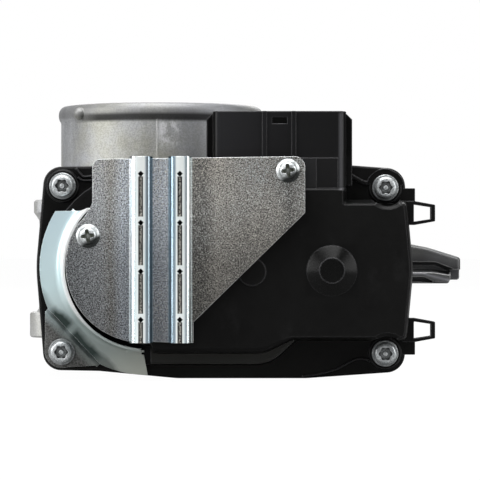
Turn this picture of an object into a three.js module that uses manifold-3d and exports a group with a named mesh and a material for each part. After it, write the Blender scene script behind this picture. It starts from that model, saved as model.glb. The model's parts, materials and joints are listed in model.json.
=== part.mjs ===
// Electronic throttle body: a die-cast aluminium barrel with a butterfly valve, turned by a DC motor through
// a two-stage gear train that runs under a moulded cover with its own connector.
// Millimetres. +Z is the bore axis, towards the air inlet, and the gear cover faces -Y.
// The origin is on the bore axis, in the plane of the face that bolts to the intake manifold.
import * as THREE from "three";
import { mergeVertices } from "three/addons/utils/BufferGeometryUtils.js";
import Module from "manifold-3d";

const wasm = await Module();
wasm.setup();

// ---------------------------------------------------------------------------------------------------
// Driving dimensions
// ---------------------------------------------------------------------------------------------------
const BORE_R = 37.5;
const TUBE_R = 40.6;
const BEAD_R = 41.6;
const INLET_TOP_Z = 92.5;
const FLANGE_T = 10;
const SHAFT_Z = 27.6;
const SHAFT_R = 5;
const DEFAULT_OPENING = THREE.MathUtils.degToRad(6); // the springs hold the valve this far open at rest

// Levels along Y, from the casting's back to the front of the cover.
const CASTING_BACK_Y = -42;
const POCKET_FLOOR_Y = -47;
const JOINT_Y = -52; // the casting's machined gearbox face
const COVER_BACK_Y = -52.3;
const COVER_FLANGE_Y = -56;
const SCREW_PAD_Y = -57;
const SHOULDER_Y = -64.5;
const LOWER_CEILING_Y = -61.2; // inside of the cover over the sector gear
const DOME_INSIDE_Y = -71.2;
const DOME_Y = -73.7;
const SHIELD_BACK_Y = -77.5;
const SHEET_T = 1;

// Gear train: sector gear on the throttle shaft, compound idler, motor pinion.
const GEAR_1 = { module: 1, wheel: 62, pinion: 12, wheelTip: 0.7, pinionTip: 0.85, root: 1.15 };
const GEAR_2 = { module: 0.8, wheel: 63, pinion: 14, wheelTip: 0.62, pinionTip: 0.7, root: 0.95 };
const PRESSURE_ANGLE = THREE.MathUtils.degToRad(20);
const BACKLASH = 0.22;
const IDLER_ANGLE = THREE.MathUtils.degToRad(-2); // from the throttle shaft towards the idler
const MOTOR_ANGLE = THREE.MathUtils.degToRad(5); // from the idler towards the motor
const IDLER_DISTANCE = (GEAR_1.module * (GEAR_1.wheel + GEAR_1.pinion)) / 2;
const MOTOR_DISTANCE = (GEAR_2.module * (GEAR_2.wheel + GEAR_2.pinion)) / 2;
const IDLER_X = IDLER_DISTANCE * Math.cos(IDLER_ANGLE);
const IDLER_Z = SHAFT_Z + IDLER_DISTANCE * Math.sin(IDLER_ANGLE);
const MOTOR_X = IDLER_X + MOTOR_DISTANCE * Math.cos(MOTOR_ANGLE);
const MOTOR_Z = IDLER_Z + MOTOR_DISTANCE * Math.sin(MOTOR_ANGLE);

// Cover screws, M5, at the corners of the gearbox flange.
const COVER_SCREWS = [
  [-36, 59.2],
  [88.4, 58.5],
  [-36.2, -4.6],
  [88.3, -5.3],
];
const LOWER_LEFT_SCREW = 2; // this one also clamps the crescent shield's ear

// Manifold bolts, M8, on a rectangle.
const BOLT = { x: 40.6, y: 31, hole: 4.25, column: 6.4, head: 8.6, foot: 10.2, headZ: 48.5, topZ: 54.3 };

// Outlines in the XZ plane: corners [x, z, radius], counter-clockwise as seen from the cover side.
const FLANGE_OUTLINE = [
  [-43.2, -11.8, 7], [-22, -12.2, 12], [8, -15, 25], [58, -15, 20], [95.6, -12.4, 7.2],
  [98.6, 27, 60], [95.7, 65.8, 7.2], [74, 67.4, 10], [-43, 66.8, 7.2], [-46.4, 28, 60],
];
const CAVITY_OUTLINE = [
  [-37.5, 19.5, 6], [-15, 2.5, 5], [-10.5, -7, 4], [43, -7, 12], [54, 3.2, 8], [92.4, 3.2, 2.5],
  [94, 27, 40], [92.4, 49.8, 2.5], [70, 49.8, 3], [70, 60.3, 3], [-37.5, 60.3, 28],
];
const DOME_OUTLINE = [
  [-32.4, -1.4, 29], [-1.2, -1.4, 0.6], [-0.4, -4.5, 1], [41.5, -4.5, 13], [52.5, 0.8, 9],
  [95.4, 0.8, 1.5], [97.8, 27, 50], [95.4, 52.6, 1.5], [72.2, 52.6, 1], [72.2, 58.4, 1], [-32.4, 58.4, 29],
];
// The dome's front: its lower edge starts further in, so that the wall slopes along the S-shaped step.
const DOME_FRONT = [
  [-31.5, -0.5, 28.1], [-1.8, -0.5, 0.6], [-0.8, -2.2, 1], [39.8, -2.2, 15], [51.2, 1.7, 8],
  [94.5, 1.7, 1.2], [96.9, 27, 49.1], [94.5, 51.7, 1.2], [71.3, 51.7, 0.7], [71.3, 57.5, 0.7],
  [-31.5, 57.5, 28.1],
];

// ---------------------------------------------------------------------------------------------------
// Geometry helpers
// ---------------------------------------------------------------------------------------------------

// A three.js geometry as a manifold-3d solid, facing out.
function solid(geometry) {
  const bare = geometry.index ? geometry.toNonIndexed() : geometry.clone();
  bare.deleteAttribute("normal");
  bare.deleteAttribute("uv");
  const merged = mergeVertices(bare, 1e-4);
  const triVerts = new Uint32Array(merged.index.array);
  const vertProperties = merged.attributes.position.array;
  const made = new wasm.Manifold(new wasm.Mesh({ numProp: 3, vertProperties, triVerts }));
  if (made.volume() >= 0) return made;
  for (let i = 0; i < triVerts.length; i += 3) {
    [triVerts[i + 1], triVerts[i + 2]] = [triVerts[i + 2], triVerts[i + 1]];
  }
  return new wasm.Manifold(new wasm.Mesh({ numProp: 3, vertProperties, triVerts }));
}

function join(...solids) {
  return solids.reduce((a, b) => a.add(b));
}

function cut(from, ...tools) {
  return tools.reduce((a, b) => a.subtract(b), from);
}

function toGeometry(made) {
  const { numProp, numVert, vertProperties, triVerts } = made.getMesh();
  const position = new Float32Array(numVert * 3);
  for (let i = 0; i < numVert; i++) {
    position.set(vertProperties.subarray(i * numProp, i * numProp + 3), i * 3);
  }
  const geometry = new THREE.BufferGeometry();
  geometry.setAttribute("position", new THREE.BufferAttribute(position, 3));
  geometry.setIndex(new THREE.BufferAttribute(triVerts, 1));
  geometry.computeVertexNormals();
  return geometry;
}

// A cylinder along Y, centred on (x, z).
function rodY(radius, yLow, yHigh, x, z, sides = 24) {
  const rod = new THREE.CylinderGeometry(radius, radius, yHigh - yLow, sides);
  return solid(rod.translate(x, (yLow + yHigh) / 2, z));
}

// A cylinder along Z, centred on (x, y).
function rodZ(radius, zLow, zHigh, x, y, sides = 24) {
  const rod = new THREE.CylinderGeometry(radius, radius, zHigh - zLow, sides).rotateX(Math.PI / 2);
  return solid(rod.translate(x, y, (zLow + zHigh) / 2));
}

function box(xLow, xHigh, yLow, yHigh, zLow, zHigh) {
  const block = new THREE.BoxGeometry(xHigh - xLow, yHigh - yLow, zHigh - zLow);
  return solid(block.translate((xLow + xHigh) / 2, (yLow + yHigh) / 2, (zLow + zHigh) / 2));
}

// A turned body about an axis along Y through (x, z). The profile is [radius, y] pairs.
function turnedY(profile, x, z, sides = 32) {
  const points = profile.map(([r, y]) => new THREE.Vector2(r, y));
  return solid(new THREE.LatheGeometry(points, sides).translate(x, 0, z));
}

// A ring about an axis along Y, of rectangular section.
function ringY(inner, outer, yLow, yHigh, x, z, sides = 32) {
  return turnedY([[inner, yLow], [outer, yLow], [outer, yHigh], [inner, yHigh], [inner, yLow]], x, z, sides);
}

// A turned body about the Z axis through (x, y). The profile is [radius, z] pairs.
function turnedZ(profile, x, y, sides = 32) {
  const points = profile.map(([r, z]) => new THREE.Vector2(r, z));
  return solid(new THREE.LatheGeometry(points, sides).rotateX(Math.PI / 2).translate(x, y, 0));
}

// Corners [x, z, radius] rounded with the same number of steps each, so that outlines can be lofted.
function rounded(corners, steps = 3) {
  const outline = [];
  corners.forEach(([x, z, radius], i) => {
    const here = new THREE.Vector2(x, z);
    const before = corners[(i + corners.length - 1) % corners.length];
    const after = corners[(i + 1) % corners.length];
    const back = new THREE.Vector2(before[0], before[1]).sub(here).normalize();
    const on = new THREE.Vector2(after[0], after[1]).sub(here).normalize();
    const half = Math.acos(THREE.MathUtils.clamp(back.dot(on), -1, 1)) / 2;
    const centre = here.clone().add(back.clone().add(on).setLength(radius / Math.sin(half)));
    const tangent = radius / Math.tan(half);
    const start = here.clone().addScaledVector(back, tangent).sub(centre);
    const end = here.clone().addScaledVector(on, tangent).sub(centre);
    let sweep = end.angle() - start.angle();
    sweep = Math.atan2(Math.sin(sweep), Math.cos(sweep));
    for (let k = 0; k <= steps; k++) {
      const turned = start.clone().rotateAround(new THREE.Vector2(), (sweep * k) / steps);
      outline.push(turned.add(centre));
    }
  });
  return outline;
}

// The same corners moved inwards by a distance, or outwards if it is negative.
function inset(corners, distance) {
  return corners.map(([x, z, radius], i) => {
    const before = corners[(i + corners.length - 1) % corners.length];
    const after = corners[(i + 1) % corners.length];
    const arriving = new THREE.Vector2(x - before[0], z - before[1]).normalize();
    const leaving = new THREE.Vector2(after[0] - x, after[1] - z).normalize();
    const turn = arriving.cross(leaving);
    const normal = new THREE.Vector2(-arriving.y - leaving.y, arriving.x + leaving.x).normalize();
    const reach = distance / normal.dot(new THREE.Vector2(-leaving.y, leaving.x));
    const newRadius = Math.max(turn > 0 ? radius - distance : radius + distance, 0.4);
    return [x + normal.x * reach, z + normal.y * reach, newRadius];
  });
}

// A closed body through outlines of the same length, given from the back (high Y) to the front (low Y).
function loftY(sections) {
  const positions = [];
  const corner = (section, i) => {
    const p = section.outline[i % section.outline.length];
    return [p.x, section.y, p.y];
  };
  const cap = (section, front) => {
    for (const [a, b, c] of THREE.ShapeUtils.triangulateShape(section.outline, [])) {
      const order = front ? [a, b, c] : [a, c, b];
      order.forEach((i) => positions.push(...corner(section, i)));
    }
  };
  cap(sections[0], false);
  cap(sections[sections.length - 1], true);
  for (let k = 1; k < sections.length; k++) {
    const rear = sections[k - 1];
    const front = sections[k];
    for (let i = 0; i < rear.outline.length; i++) {
      positions.push(...corner(front, i), ...corner(rear, i + 1), ...corner(front, i + 1));
      positions.push(...corner(front, i), ...corner(rear, i), ...corner(rear, i + 1));
    }
  }
  const geometry = new THREE.BufferGeometry();
  return solid(geometry.setAttribute("position", new THREE.Float32BufferAttribute(positions, 3)));
}

// A plate between two Y levels.
function plateY(outline, yLow, yHigh) {
  return loftY([{ outline, y: yHigh }, { outline, y: yLow }]);
}

// A bar with an outline in the XY plane, between two Z levels.
function barZ(points, zLow, zHigh) {
  const shape = new THREE.Shape(points.map(([x, y]) => new THREE.Vector2(x, y)));
  const bar = new THREE.ExtrudeGeometry(shape, { depth: zHigh - zLow, bevelEnabled: false });
  return solid(bar.translate(0, 0, zLow));
}

// Points on an arc in the XZ plane, angles in degrees from +X towards +Z.
function arcPoints(x, z, radius, from, to, steps) {
  return Array.from({ length: steps + 1 }, (_, k) => {
    const angle = THREE.MathUtils.degToRad(from + ((to - from) * k) / steps);
    return new THREE.Vector2(x + radius * Math.cos(angle), z + radius * Math.sin(angle));
  });
}

// Involute teeth about (x, z): tooth number `first` to `last`, with tooth 0 centred on the angle `phase`.
function toothOutline(x, z, module, teeth, tip, root, phase, first, last) {
  const pitchR = (module * teeth) / 2;
  const baseR = pitchR * Math.cos(PRESSURE_ANGLE);
  const involute = (r) => {
    const a = r > baseR ? Math.acos(baseR / r) : 0;
    return Math.tan(a) - a;
  };
  const atPitch = Math.PI / (2 * teeth) - BACKLASH / (2 * pitchR);
  const halfAngle = (r) => atPitch + involute(pitchR) - involute(r);
  const radii = [pitchR - root, pitchR + 0.1 * module, pitchR + tip];
  const outline = [];
  for (let tooth = first; tooth <= last; tooth++) {
    const middle = phase + (tooth * 2 * Math.PI) / teeth;
    const rising = radii.map((r) => [r, middle - halfAngle(r)]);
    const falling = radii.map((r) => [r, middle + halfAngle(r)]).reverse();
    for (const [r, angle] of [...rising, ...falling]) {
      outline.push(new THREE.Vector2(x + r * Math.cos(angle), z + r * Math.sin(angle)));
    }
  }
  return outline;
}

// ---------------------------------------------------------------------------------------------------
// Materials
// ---------------------------------------------------------------------------------------------------
function material(color, metalness, roughness) {
  return new THREE.MeshStandardMaterial({ color, metalness, roughness });
}
const castAluminium = material(0x9a9a9c, 0.9, 0.55);
const steel = material(0xb4b6ba, 1, 0.3);
const zincSteel = material(0xc9d3d6, 1, 0.25);
const darkZinc = material(0x77746e, 0.9, 0.5);
const blackPlastic = material(0x131314, 0, 0.45);
const rubber = material(0x0b0b0b, 0, 0.8);
const brass = material(0xc7a34b, 1, 0.3);
const copper = material(0xb8703c, 1, 0.35);
const ferrite = material(0x2b2b2d, 0.2, 0.7);
const gearPlastic = material(0xd8d2bf, 0, 0.5);
const boardGreen = material(0x14502c, 0, 0.5);
const springSteel = material(0x55585c, 1, 0.35);

const throttleBody = new THREE.Group();
const rotor = new THREE.Group(); // turns with the throttle shaft, modelled with the valve closed
rotor.position.set(0, 0, SHAFT_Z);
rotor.rotation.y = DEFAULT_OPENING;
throttleBody.add(rotor);

function piece(name, made, look, parent = throttleBody) {
  const mesh = new THREE.Mesh(toGeometry(made), look);
  mesh.name = name;
  parent.add(mesh);
}

// The lever's arm swings between a screw, where the valve is closed, and a cast post, where it is wide open.
const STOP_R = 22;
const CLOSED_STOP = onShaftCircle(STOP_R, 164.2);
const OPEN_STOP = onShaftCircle(STOP_R, 47.4);
const OPEN_STOP_POST_R = 3;

function onShaftCircle(radius, degrees) {
  const angle = THREE.MathUtils.degToRad(degrees);
  return { x: radius * Math.cos(angle), z: SHAFT_Z + radius * Math.sin(angle) };
}

// ---------------------------------------------------------------------------------------------------
// Die casting
// ---------------------------------------------------------------------------------------------------
const REAR_BOSS_END_Y = 54;
const INLET_NUB = { radius: 2.4, place: [-31.4, -27.5, 88.6] }; // a locating nub on the inlet bead
const BARREL_SIDES = 40;
const MOTOR_HOUSING_R = 19;
const MOTOR_HOUSING_END_Y = 12;
const MOTOR_BORE_R = 15.6;
const FRONT_BOSS_Y = -50.5;
const BEARING_SEAT_R = 11.1;

function barrel() {
  const profile = [
    [BORE_R - 4, 0], [TUBE_R + 0.4, 0], [TUBE_R + 0.4, 62], [TUBE_R, 66], [TUBE_R, 86],
    [BEAD_R - 0.3, 86.9], [BEAD_R, 88.2], [BEAD_R, 90.2], [BEAD_R - 0.5, 91.6],
    [BEAD_R - 1.6, INLET_TOP_Z], [BORE_R - 4, INLET_TOP_Z], [BORE_R - 4, 0],
  ];
  return turnedZ(profile, 0, 0, BARREL_SIDES);
}

function boreCutter() {
  const profile = [
    [0, -1], [BORE_R, -1], [BORE_R, INLET_TOP_Z - 3], [BORE_R + 1, INLET_TOP_Z - 0.5],
    [BORE_R + 1.4, INLET_TOP_Z + 1], [0, INLET_TOP_Z + 1],
  ];
  return turnedZ(profile, 0, 0, BARREL_SIDES);
}

// The manifold flange and its four long bolt columns, tied to the barrel by webs.
function manifoldFlange() {
  const x = BOLT.x + BOLT.foot;
  const y = BOLT.y + BOLT.foot;
  const corners = [[-x, -y, BOLT.foot], [x, -y, BOLT.foot], [x, y, BOLT.foot], [-x, y, BOLT.foot]];
  const parts = [barZ(rounded(corners, 5).map((p) => [p.x, p.y]), 0, FLANGE_T)];
  for (const sx of [-1, 1]) {
    for (const sy of [-1, 1]) {
      const cx = sx * BOLT.x;
      const cy = sy * BOLT.y;
      parts.push(rodZ(BOLT.column, 0, BOLT.headZ + 1, cx, cy, 16));
      parts.push(rodZ(BOLT.head, BOLT.headZ, BOLT.topZ, cx, cy, 16));
      const web = new THREE.BoxGeometry(14, 5, BOLT.headZ - 4);
      web.translate(BOLT.x, 0, (BOLT.headZ + 4) / 2).rotateZ(Math.atan2(cy, cx));
      parts.push(solid(web));
    }
  }
  return join(...parts);
}

function boltHoles() {
  const holes = [];
  for (const sx of [-1, 1]) {
    for (const sy of [-1, 1]) {
      holes.push(rodZ(BOLT.hole, -1, BOLT.topZ + 1, sx * BOLT.x, sy * BOLT.y, 12));
    }
  }
  return join(...holes);
}

// The arm that carries the engine harness bracket: a ribbed lever with a drilled boss at its end.
const ARM = { yLow: -10, yHigh: 6, boltX: 112, boltY: 0, hole: 3.4 };
function supportArm() {
  const outline = rounded([
    [78, 17, 1], [84, 20.8, 4], [116.9, 20.8, 1], [117.5, 22.2, 0.5], [121.7, 22.2, 1.2],
    [121.7, 31.3, 1.6], [108.5, 35.4, 20], [98, 37.4, 10], [78, 40, 1],
  ]);
  const arm = plateY(outline, ARM.yLow, ARM.yHigh);
  const groove = rounded([
    [80, 25.6, 0.5], [111, 25.6, 5], [117, 24.6, 0.5], [118.6, 26.4, 0.4], [111.5, 29.2, 6], [80, 29.2, 0.5],
  ]);
  const foot = rounded([[80, 21.6, 0.3], [106, 21.6, 3], [111, 21.2, 0.2], [107, 23.2, 3], [80, 23.2, 0.3]]);
  const notch = box(117.6, 124, ARM.yLow - 1, ARM.yLow + 6, 20, 26.4);
  return cut(
    arm,
    plateY(groove, ARM.yLow - 1, ARM.yLow + 3),
    plateY(foot, ARM.yLow - 1, ARM.yLow + 3),
    notch,
    rodZ(ARM.hole, 10, 45, ARM.boltX, ARM.boltY, 16),
  );
}

function casting() {
  const plateOutline = rounded(inset(FLANGE_OUTLINE, 0.5));
  const saddle = box(-30, 30, CASTING_BACK_Y - 1, -26, 2, 63);
  const motorWeb = box(28, MOTOR_X, CASTING_BACK_Y - 1, -6, MOTOR_Z - 12, MOTOR_Z + 12);
  const lowerWeb = box(-5, 5, CASTING_BACK_Y - 1, -30, -10, 4);
  const outside = join(
    barrel(),
    manifoldFlange(),
    plateY(plateOutline, JOINT_Y, CASTING_BACK_Y),
    saddle,
    motorWeb,
    lowerWeb,
    rodY(MOTOR_HOUSING_R, CASTING_BACK_Y - 1, MOTOR_HOUSING_END_Y, MOTOR_X, MOTOR_Z, 32),
    rodY(12.5, 30, REAR_BOSS_END_Y, 0, SHAFT_Z, 32),
    rodY(1.9, CASTING_BACK_Y - 4, -37.5, -42.5, 60.2, 12),
    solid(new THREE.SphereGeometry(INLET_NUB.radius, 10, 6).translate(...INLET_NUB.place)),
    supportArm(),
  );
  const ribs = [-1, 1].map((side) => box(side * 24 - 1.5, side * 24 + 1.5, -45, -30, -11, 6));
  const pocket = plateY(rounded(CAVITY_OUTLINE), JOINT_Y - 1, POCKET_FLOOR_Y);
  const gasketGroove = cut(
    plateY(rounded(inset(CAVITY_OUTLINE, -3.9)), JOINT_Y - 1, JOINT_Y + 1.7),
    plateY(rounded(inset(CAVITY_OUTLINE, -1.3)), JOINT_Y - 2, JOINT_Y + 2),
  );
  const frontBoss = rodY(13.6, FRONT_BOSS_Y, POCKET_FLOOR_Y + 1, 0, SHAFT_Z, 32);
  const idlerBoss = rodY(6.5, -50.5, POCKET_FLOOR_Y + 1, IDLER_X, IDLER_Z, 20);
  const stopBoss = rodY(4.2, -52.5, POCKET_FLOOR_Y + 1, CLOSED_STOP.x, CLOSED_STOP.z, 16);
  const openStop = rodY(OPEN_STOP_POST_R, -55.9, POCKET_FLOOR_Y + 1, OPEN_STOP.x, OPEN_STOP.z, 14);
  const screwHoles = COVER_SCREWS.map(([x, z]) => rodY(2.55, JOINT_Y - 1, CASTING_BACK_Y + 1, x, z, 12));
  const dowelHoles = DOWELS.map(([x, z]) => rodY(2.1, JOINT_Y - 1, JOINT_Y + 5.2, x, z, 12));
  const motorScrewHoles = MOTOR_SCREWS.map(([x, z]) => rodY(1.6, -48, POCKET_FLOOR_Y + 4, x, z, 10));
  const shell = cut(outside.add(join(...ribs)), boreCutter(), boltHoles(), pocket);
  return cut(
    shell.add(join(frontBoss, idlerBoss, stopBoss, openStop)),
    boreCutter(),
    gasketGroove,
    rodY(SHAFT_R + 0.35, -60, 60, 0, SHAFT_Z, 24),
    rodY(BEARING_SEAT_R, -60, -43.8, 0, SHAFT_Z, 32),
    rodY(8.1, -44, -40.3, 0, SHAFT_Z, 24),
    rodY(8.1, 39.5, 42.6, 0, SHAFT_Z, 24),
    rodY(7.1, 42.5, 60, 0, SHAFT_Z, 24),
    rodY(9.3, 51.2, 60, 0, SHAFT_Z, 24),
    rodY(MOTOR_BORE_R, -60, MOTOR_HOUSING_END_Y - 3, MOTOR_X, MOTOR_Z, 32),
    rodY(3.15, -60, -38, IDLER_X, IDLER_Z, 16),
    rodY(2.15, -60, POCKET_FLOOR_Y + 3, CLOSED_STOP.x, CLOSED_STOP.z, 12),
    ...screwHoles,
    ...dowelHoles,
    ...motorScrewHoles,
  );
}

// ---------------------------------------------------------------------------------------------------
// Throttle shaft, valve plate and what turns with them, in the rotor's own frame: axis on Y, valve closed
// ---------------------------------------------------------------------------------------------------
const VALVE = { radius: 37.25, thickness: 2.2, screwY: 17 };

function shaft() {
  const profile = [
    [0, -64.2], [3.4, -64.2], [4, -63.6], [4, -54], [SHAFT_R, -54], [SHAFT_R, 49.6], [4.4, 50.2], [0, 50.2],
  ];
  const slotHalf = VALVE.thickness / 2 + 0.15;
  const slot = box(-SHAFT_R - 1, SHAFT_R + 1, -37.4, 37.4, -slotHalf, slotHalf);
  const holes = [-1, 1].map((side) => rodZ(2.1, -6, 6, 0, side * VALVE.screwY, 12));
  return cut(turnedY(profile, 0, 0, 24), slot, ...holes);
}

function valvePlate() {
  const disc = rodZ(VALVE.radius, -VALVE.thickness / 2, VALVE.thickness / 2, 0, 0, 48);
  const holes = [-1, 1].map((side) => rodZ(2.1, -6, 6, 0, side * VALVE.screwY, 12));
  return cut(disc, ...holes);
}

function valveScrew(y) {
  const profile = [
    [0, -5.4], [1.8, -5.4], [1.8, 5.2], [3.3, 5.2], [3.3, 6.2], [2.6, 7.1], [0, 7.4],
  ];
  const slot = box(-0.4, 0.4, y - 2, y + 2, 6.4, 8);
  const cross = box(-2, 2, y - 0.4, y + 0.4, 6.4, 8);
  return cut(turnedZ(profile, 0, y, 16), slot, cross);
}

// The angle in the closed frame whose tooth meets the idler at rest.
const MESH_PHASE = IDLER_ANGLE + DEFAULT_OPENING;
const SECTOR = { yLow: -60.6, yHigh: -56.2, first: -2, last: 16, hubR: 9.8 };

function sectorGear() {
  const { module, wheel, wheelTip, root } = GEAR_1;
  const teeth = toothOutline(0, 0, module, wheel, wheelTip, root, MESH_PHASE, SECTOR.first, SECTOR.last);
  const web = [...teeth, ...arcPoints(0, 0, 11, 150, 290, 8)];
  const rim = plateY(web, SECTOR.yLow, SECTOR.yHigh);
  const hub = rodY(SECTOR.hubR, -69, -56.2, 0, 0, 32);
  const windows = [24, 50, 76].map((angle) => {
    const turn = THREE.MathUtils.degToRad(angle);
    return rodY(4.2, SECTOR.yLow - 1, SECTOR.yHigh - 2, 20 * Math.cos(turn), 20 * Math.sin(turn), 16);
  });
  return cut(rim.add(hub), rodY(4.3, -80, -50, 0, 0, 20), rodY(8.4, -80, -62.2, 0, 0, 28), ...windows);
}

const LEVER = { yLow: -55.8, yHigh: -54.3, armAngle: 150, reach: 24, width: 6 };
function stopLever() {
  const disc = rodY(12, LEVER.yLow, LEVER.yHigh, 0, 0, 28);
  const arm = new THREE.BoxGeometry(LEVER.reach, LEVER.yHigh - LEVER.yLow, LEVER.width);
  arm.translate(LEVER.reach / 2, (LEVER.yLow + LEVER.yHigh) / 2, 0);
  arm.rotateY(-THREE.MathUtils.degToRad(LEVER.armAngle));
  return cut(disc.add(solid(arm)), rodY(4.3, -60, -50, 0, 0, 20));
}

function hexNut(radius, holeR, yLow, yHigh, x, z) {
  return cut(rodY(radius, yLow, yHigh, x, z, 6), rodY(holeR, yLow - 1, yHigh + 1, x, z, 16));
}

// ---------------------------------------------------------------------------------------------------
// Bearings, seals and springs
// ---------------------------------------------------------------------------------------------------
const BALL_BEARING = {
  yLow: -50.1, yHigh: -44.1, inner: 5.1, innerOut: 6.7, outerIn: 9.3, outer: 10.9, balls: 7,
};

function ballCage() {
  const middleY = (BALL_BEARING.yLow + BALL_BEARING.yHigh) / 2;
  const pitchR = (BALL_BEARING.innerOut + BALL_BEARING.outerIn) / 2;
  const parts = [ringY(pitchR - 0.5, pitchR + 0.5, middleY - 0.9, middleY + 0.9, 0, SHAFT_Z, 21)];
  for (let k = 0; k < BALL_BEARING.balls; k++) {
    const angle = (k * 2 * Math.PI) / BALL_BEARING.balls;
    const ball = new THREE.SphereGeometry(1.15, 6, 4);
    ball.translate(pitchR * Math.cos(angle), middleY, SHAFT_Z + pitchR * Math.sin(angle));
    parts.push(solid(ball));
  }
  return join(...parts);
}

// A seal ring with a lip that narrows towards the shaft.
function shaftSeal(yLow, yHigh) {
  const profile = [
    [5.35, yLow + 0.2], [6.6, yLow], [7.9, yLow], [7.9, yHigh], [6.6, yHigh], [5.35, yLow + 0.8],
    [5.35, yLow + 0.2],
  ];
  return turnedY(profile, 0, SHAFT_Z, 20);
}

// A round wire along a helix about the shaft's axis, with a short straight leg at each end.
function torsionSpring(radius, wireR, yStart, yEnd, turns, startAngle) {
  const points = [];
  const steps = turns * 18;
  const at = (angle, r, y) => new THREE.Vector3(r * Math.cos(angle), y, SHAFT_Z + r * Math.sin(angle));
  for (let k = 0; k <= steps; k++) {
    const share = k / steps;
    points.push(at(startAngle + share * turns * 2 * Math.PI, radius, yStart + share * (yEnd - yStart)));
  }
  points.unshift(at(startAngle - 0.25, radius + 3.4, yStart));
  points.push(at(startAngle + turns * 2 * Math.PI + 0.25, radius + 3.4, yEnd));
  const path = new THREE.CatmullRomCurve3(points);
  const section = new THREE.Shape().absarc(0, 0, wireR, 0, 2 * Math.PI);
  return solid(
    new THREE.ExtrudeGeometry(section, { steps: steps + 8, curveSegments: 3, extrudePath: path }),
  );
}

// ---------------------------------------------------------------------------------------------------
// Idler gear and motor
// ---------------------------------------------------------------------------------------------------
const IDLER = { pinionLow: -63.1, pinionHigh: -52, wheelLow: -68, wheelHigh: -63 };

function idlerGear() {
  const gap = IDLER_ANGLE + Math.PI + Math.PI / GEAR_1.pinion;
  const small = toothOutline(
    IDLER_X, IDLER_Z, GEAR_1.module, GEAR_1.pinion, GEAR_1.pinionTip, GEAR_1.root, gap, 0, GEAR_1.pinion - 1,
  );
  const large = toothOutline(
    IDLER_X, IDLER_Z, GEAR_2.module, GEAR_2.wheel, GEAR_2.wheelTip, GEAR_2.root, MOTOR_ANGLE,
    0, GEAR_2.wheel - 1,
  );
  const dish = ringY(8, 21.5, IDLER.wheelLow - 1, IDLER.wheelLow + 1.6, IDLER_X, IDLER_Z, 40);
  return cut(
    join(plateY(small, IDLER.pinionLow, IDLER.pinionHigh), plateY(large, IDLER.wheelLow, IDLER.wheelHigh)),
    dish,
    rodY(3.1, -80, -40, IDLER_X, IDLER_Z, 20),
  );
}

const MOTOR = { radius: 15.2, backY: 8.4, faceY: -46.6, shaftR: 1.6 };
const MOTOR_SCREWS = [[MOTOR_X, MOTOR_Z + 17.6], [MOTOR_X, MOTOR_Z - 17.6]];

function motorCase() {
  const wall = 1.2;
  const profile = [
    [2.2, MOTOR.backY], [MOTOR.radius - 2, MOTOR.backY], [MOTOR.radius, MOTOR.backY - 2],
    [MOTOR.radius, MOTOR.faceY + 0.3], [MOTOR.radius - wall, MOTOR.faceY + 0.3],
    [MOTOR.radius - wall, MOTOR.backY - wall - 1.5], [MOTOR.radius - 2 - wall, MOTOR.backY - wall],
    [2.2, MOTOR.backY - wall], [2.2, MOTOR.backY],
  ];
  return turnedY(profile, MOTOR_X, MOTOR_Z, 32);
}

function motorMagnet(side) {
  const ring = ringY(11.6, 13.7, -36, 2, MOTOR_X, MOTOR_Z, 32);
  const low = side > 0 ? MOTOR_Z + 3 : MOTOR_Z - 20;
  return ring.intersect(box(MOTOR_X - 20, MOTOR_X + 20, -60, 20, low, low + 17));
}

function motorEndPlate() {
  const outline = rounded([
    [MOTOR_X - 15, MOTOR_Z - 12, 10], [MOTOR_X - 5, MOTOR_Z - 20.7, 4], [MOTOR_X + 5, MOTOR_Z - 20.7, 4],
    [MOTOR_X + 15, MOTOR_Z - 12, 10], [MOTOR_X + 15, MOTOR_Z + 12, 10], [MOTOR_X + 5, MOTOR_Z + 20.7, 4],
    [MOTOR_X - 5, MOTOR_Z + 20.7, 4], [MOTOR_X - 15, MOTOR_Z + 12, 10],
  ]);
  const plate = plateY(outline, -49, -47.3);
  const bush = rodY(4, -51.5, -48, MOTOR_X, MOTOR_Z, 20);
  const holes = MOTOR_SCREWS.map(([x, z]) => rodY(1.7, -60, -40, x, z, 12));
  const slots = [-8, 8].map((dx) => {
    const x = MOTOR_X + dx;
    return box(x - 1.8, x + 1.8, -60, -40, MOTOR_Z - 0.8, MOTOR_Z + 0.8);
  });
  return cut(plate.add(bush), rodY(1.9, -60, -40, MOTOR_X, MOTOR_Z, 16), ...holes, ...slots);
}

function motorArmature() {
  const core = rodY(10.8, -33, -2, MOTOR_X, MOTOR_Z, 32);
  const slots = [];
  for (let k = 0; k < 5; k++) {
    const slot = new THREE.BoxGeometry(4, 40, 1.6).translate(10, -17, 0).rotateY((k * 2 * Math.PI) / 5);
    slots.push(solid(slot.translate(MOTOR_X, 0, MOTOR_Z)));
  }
  return cut(core, rodY(MOTOR.shaftR + 0.1, -60, 20, MOTOR_X, MOTOR_Z, 16), ...slots);
}

function motorPinion() {
  const gap = MOTOR_ANGLE + Math.PI + Math.PI / GEAR_2.pinion;
  const outline = toothOutline(
    MOTOR_X, MOTOR_Z, GEAR_2.module, GEAR_2.pinion, GEAR_2.pinionTip, GEAR_2.root, gap, 0, GEAR_2.pinion - 1,
  );
  return cut(plateY(outline, -68.8, -62.2), rodY(MOTOR.shaftR + 0.1, -80, -40, MOTOR_X, MOTOR_Z, 16));
}

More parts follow.
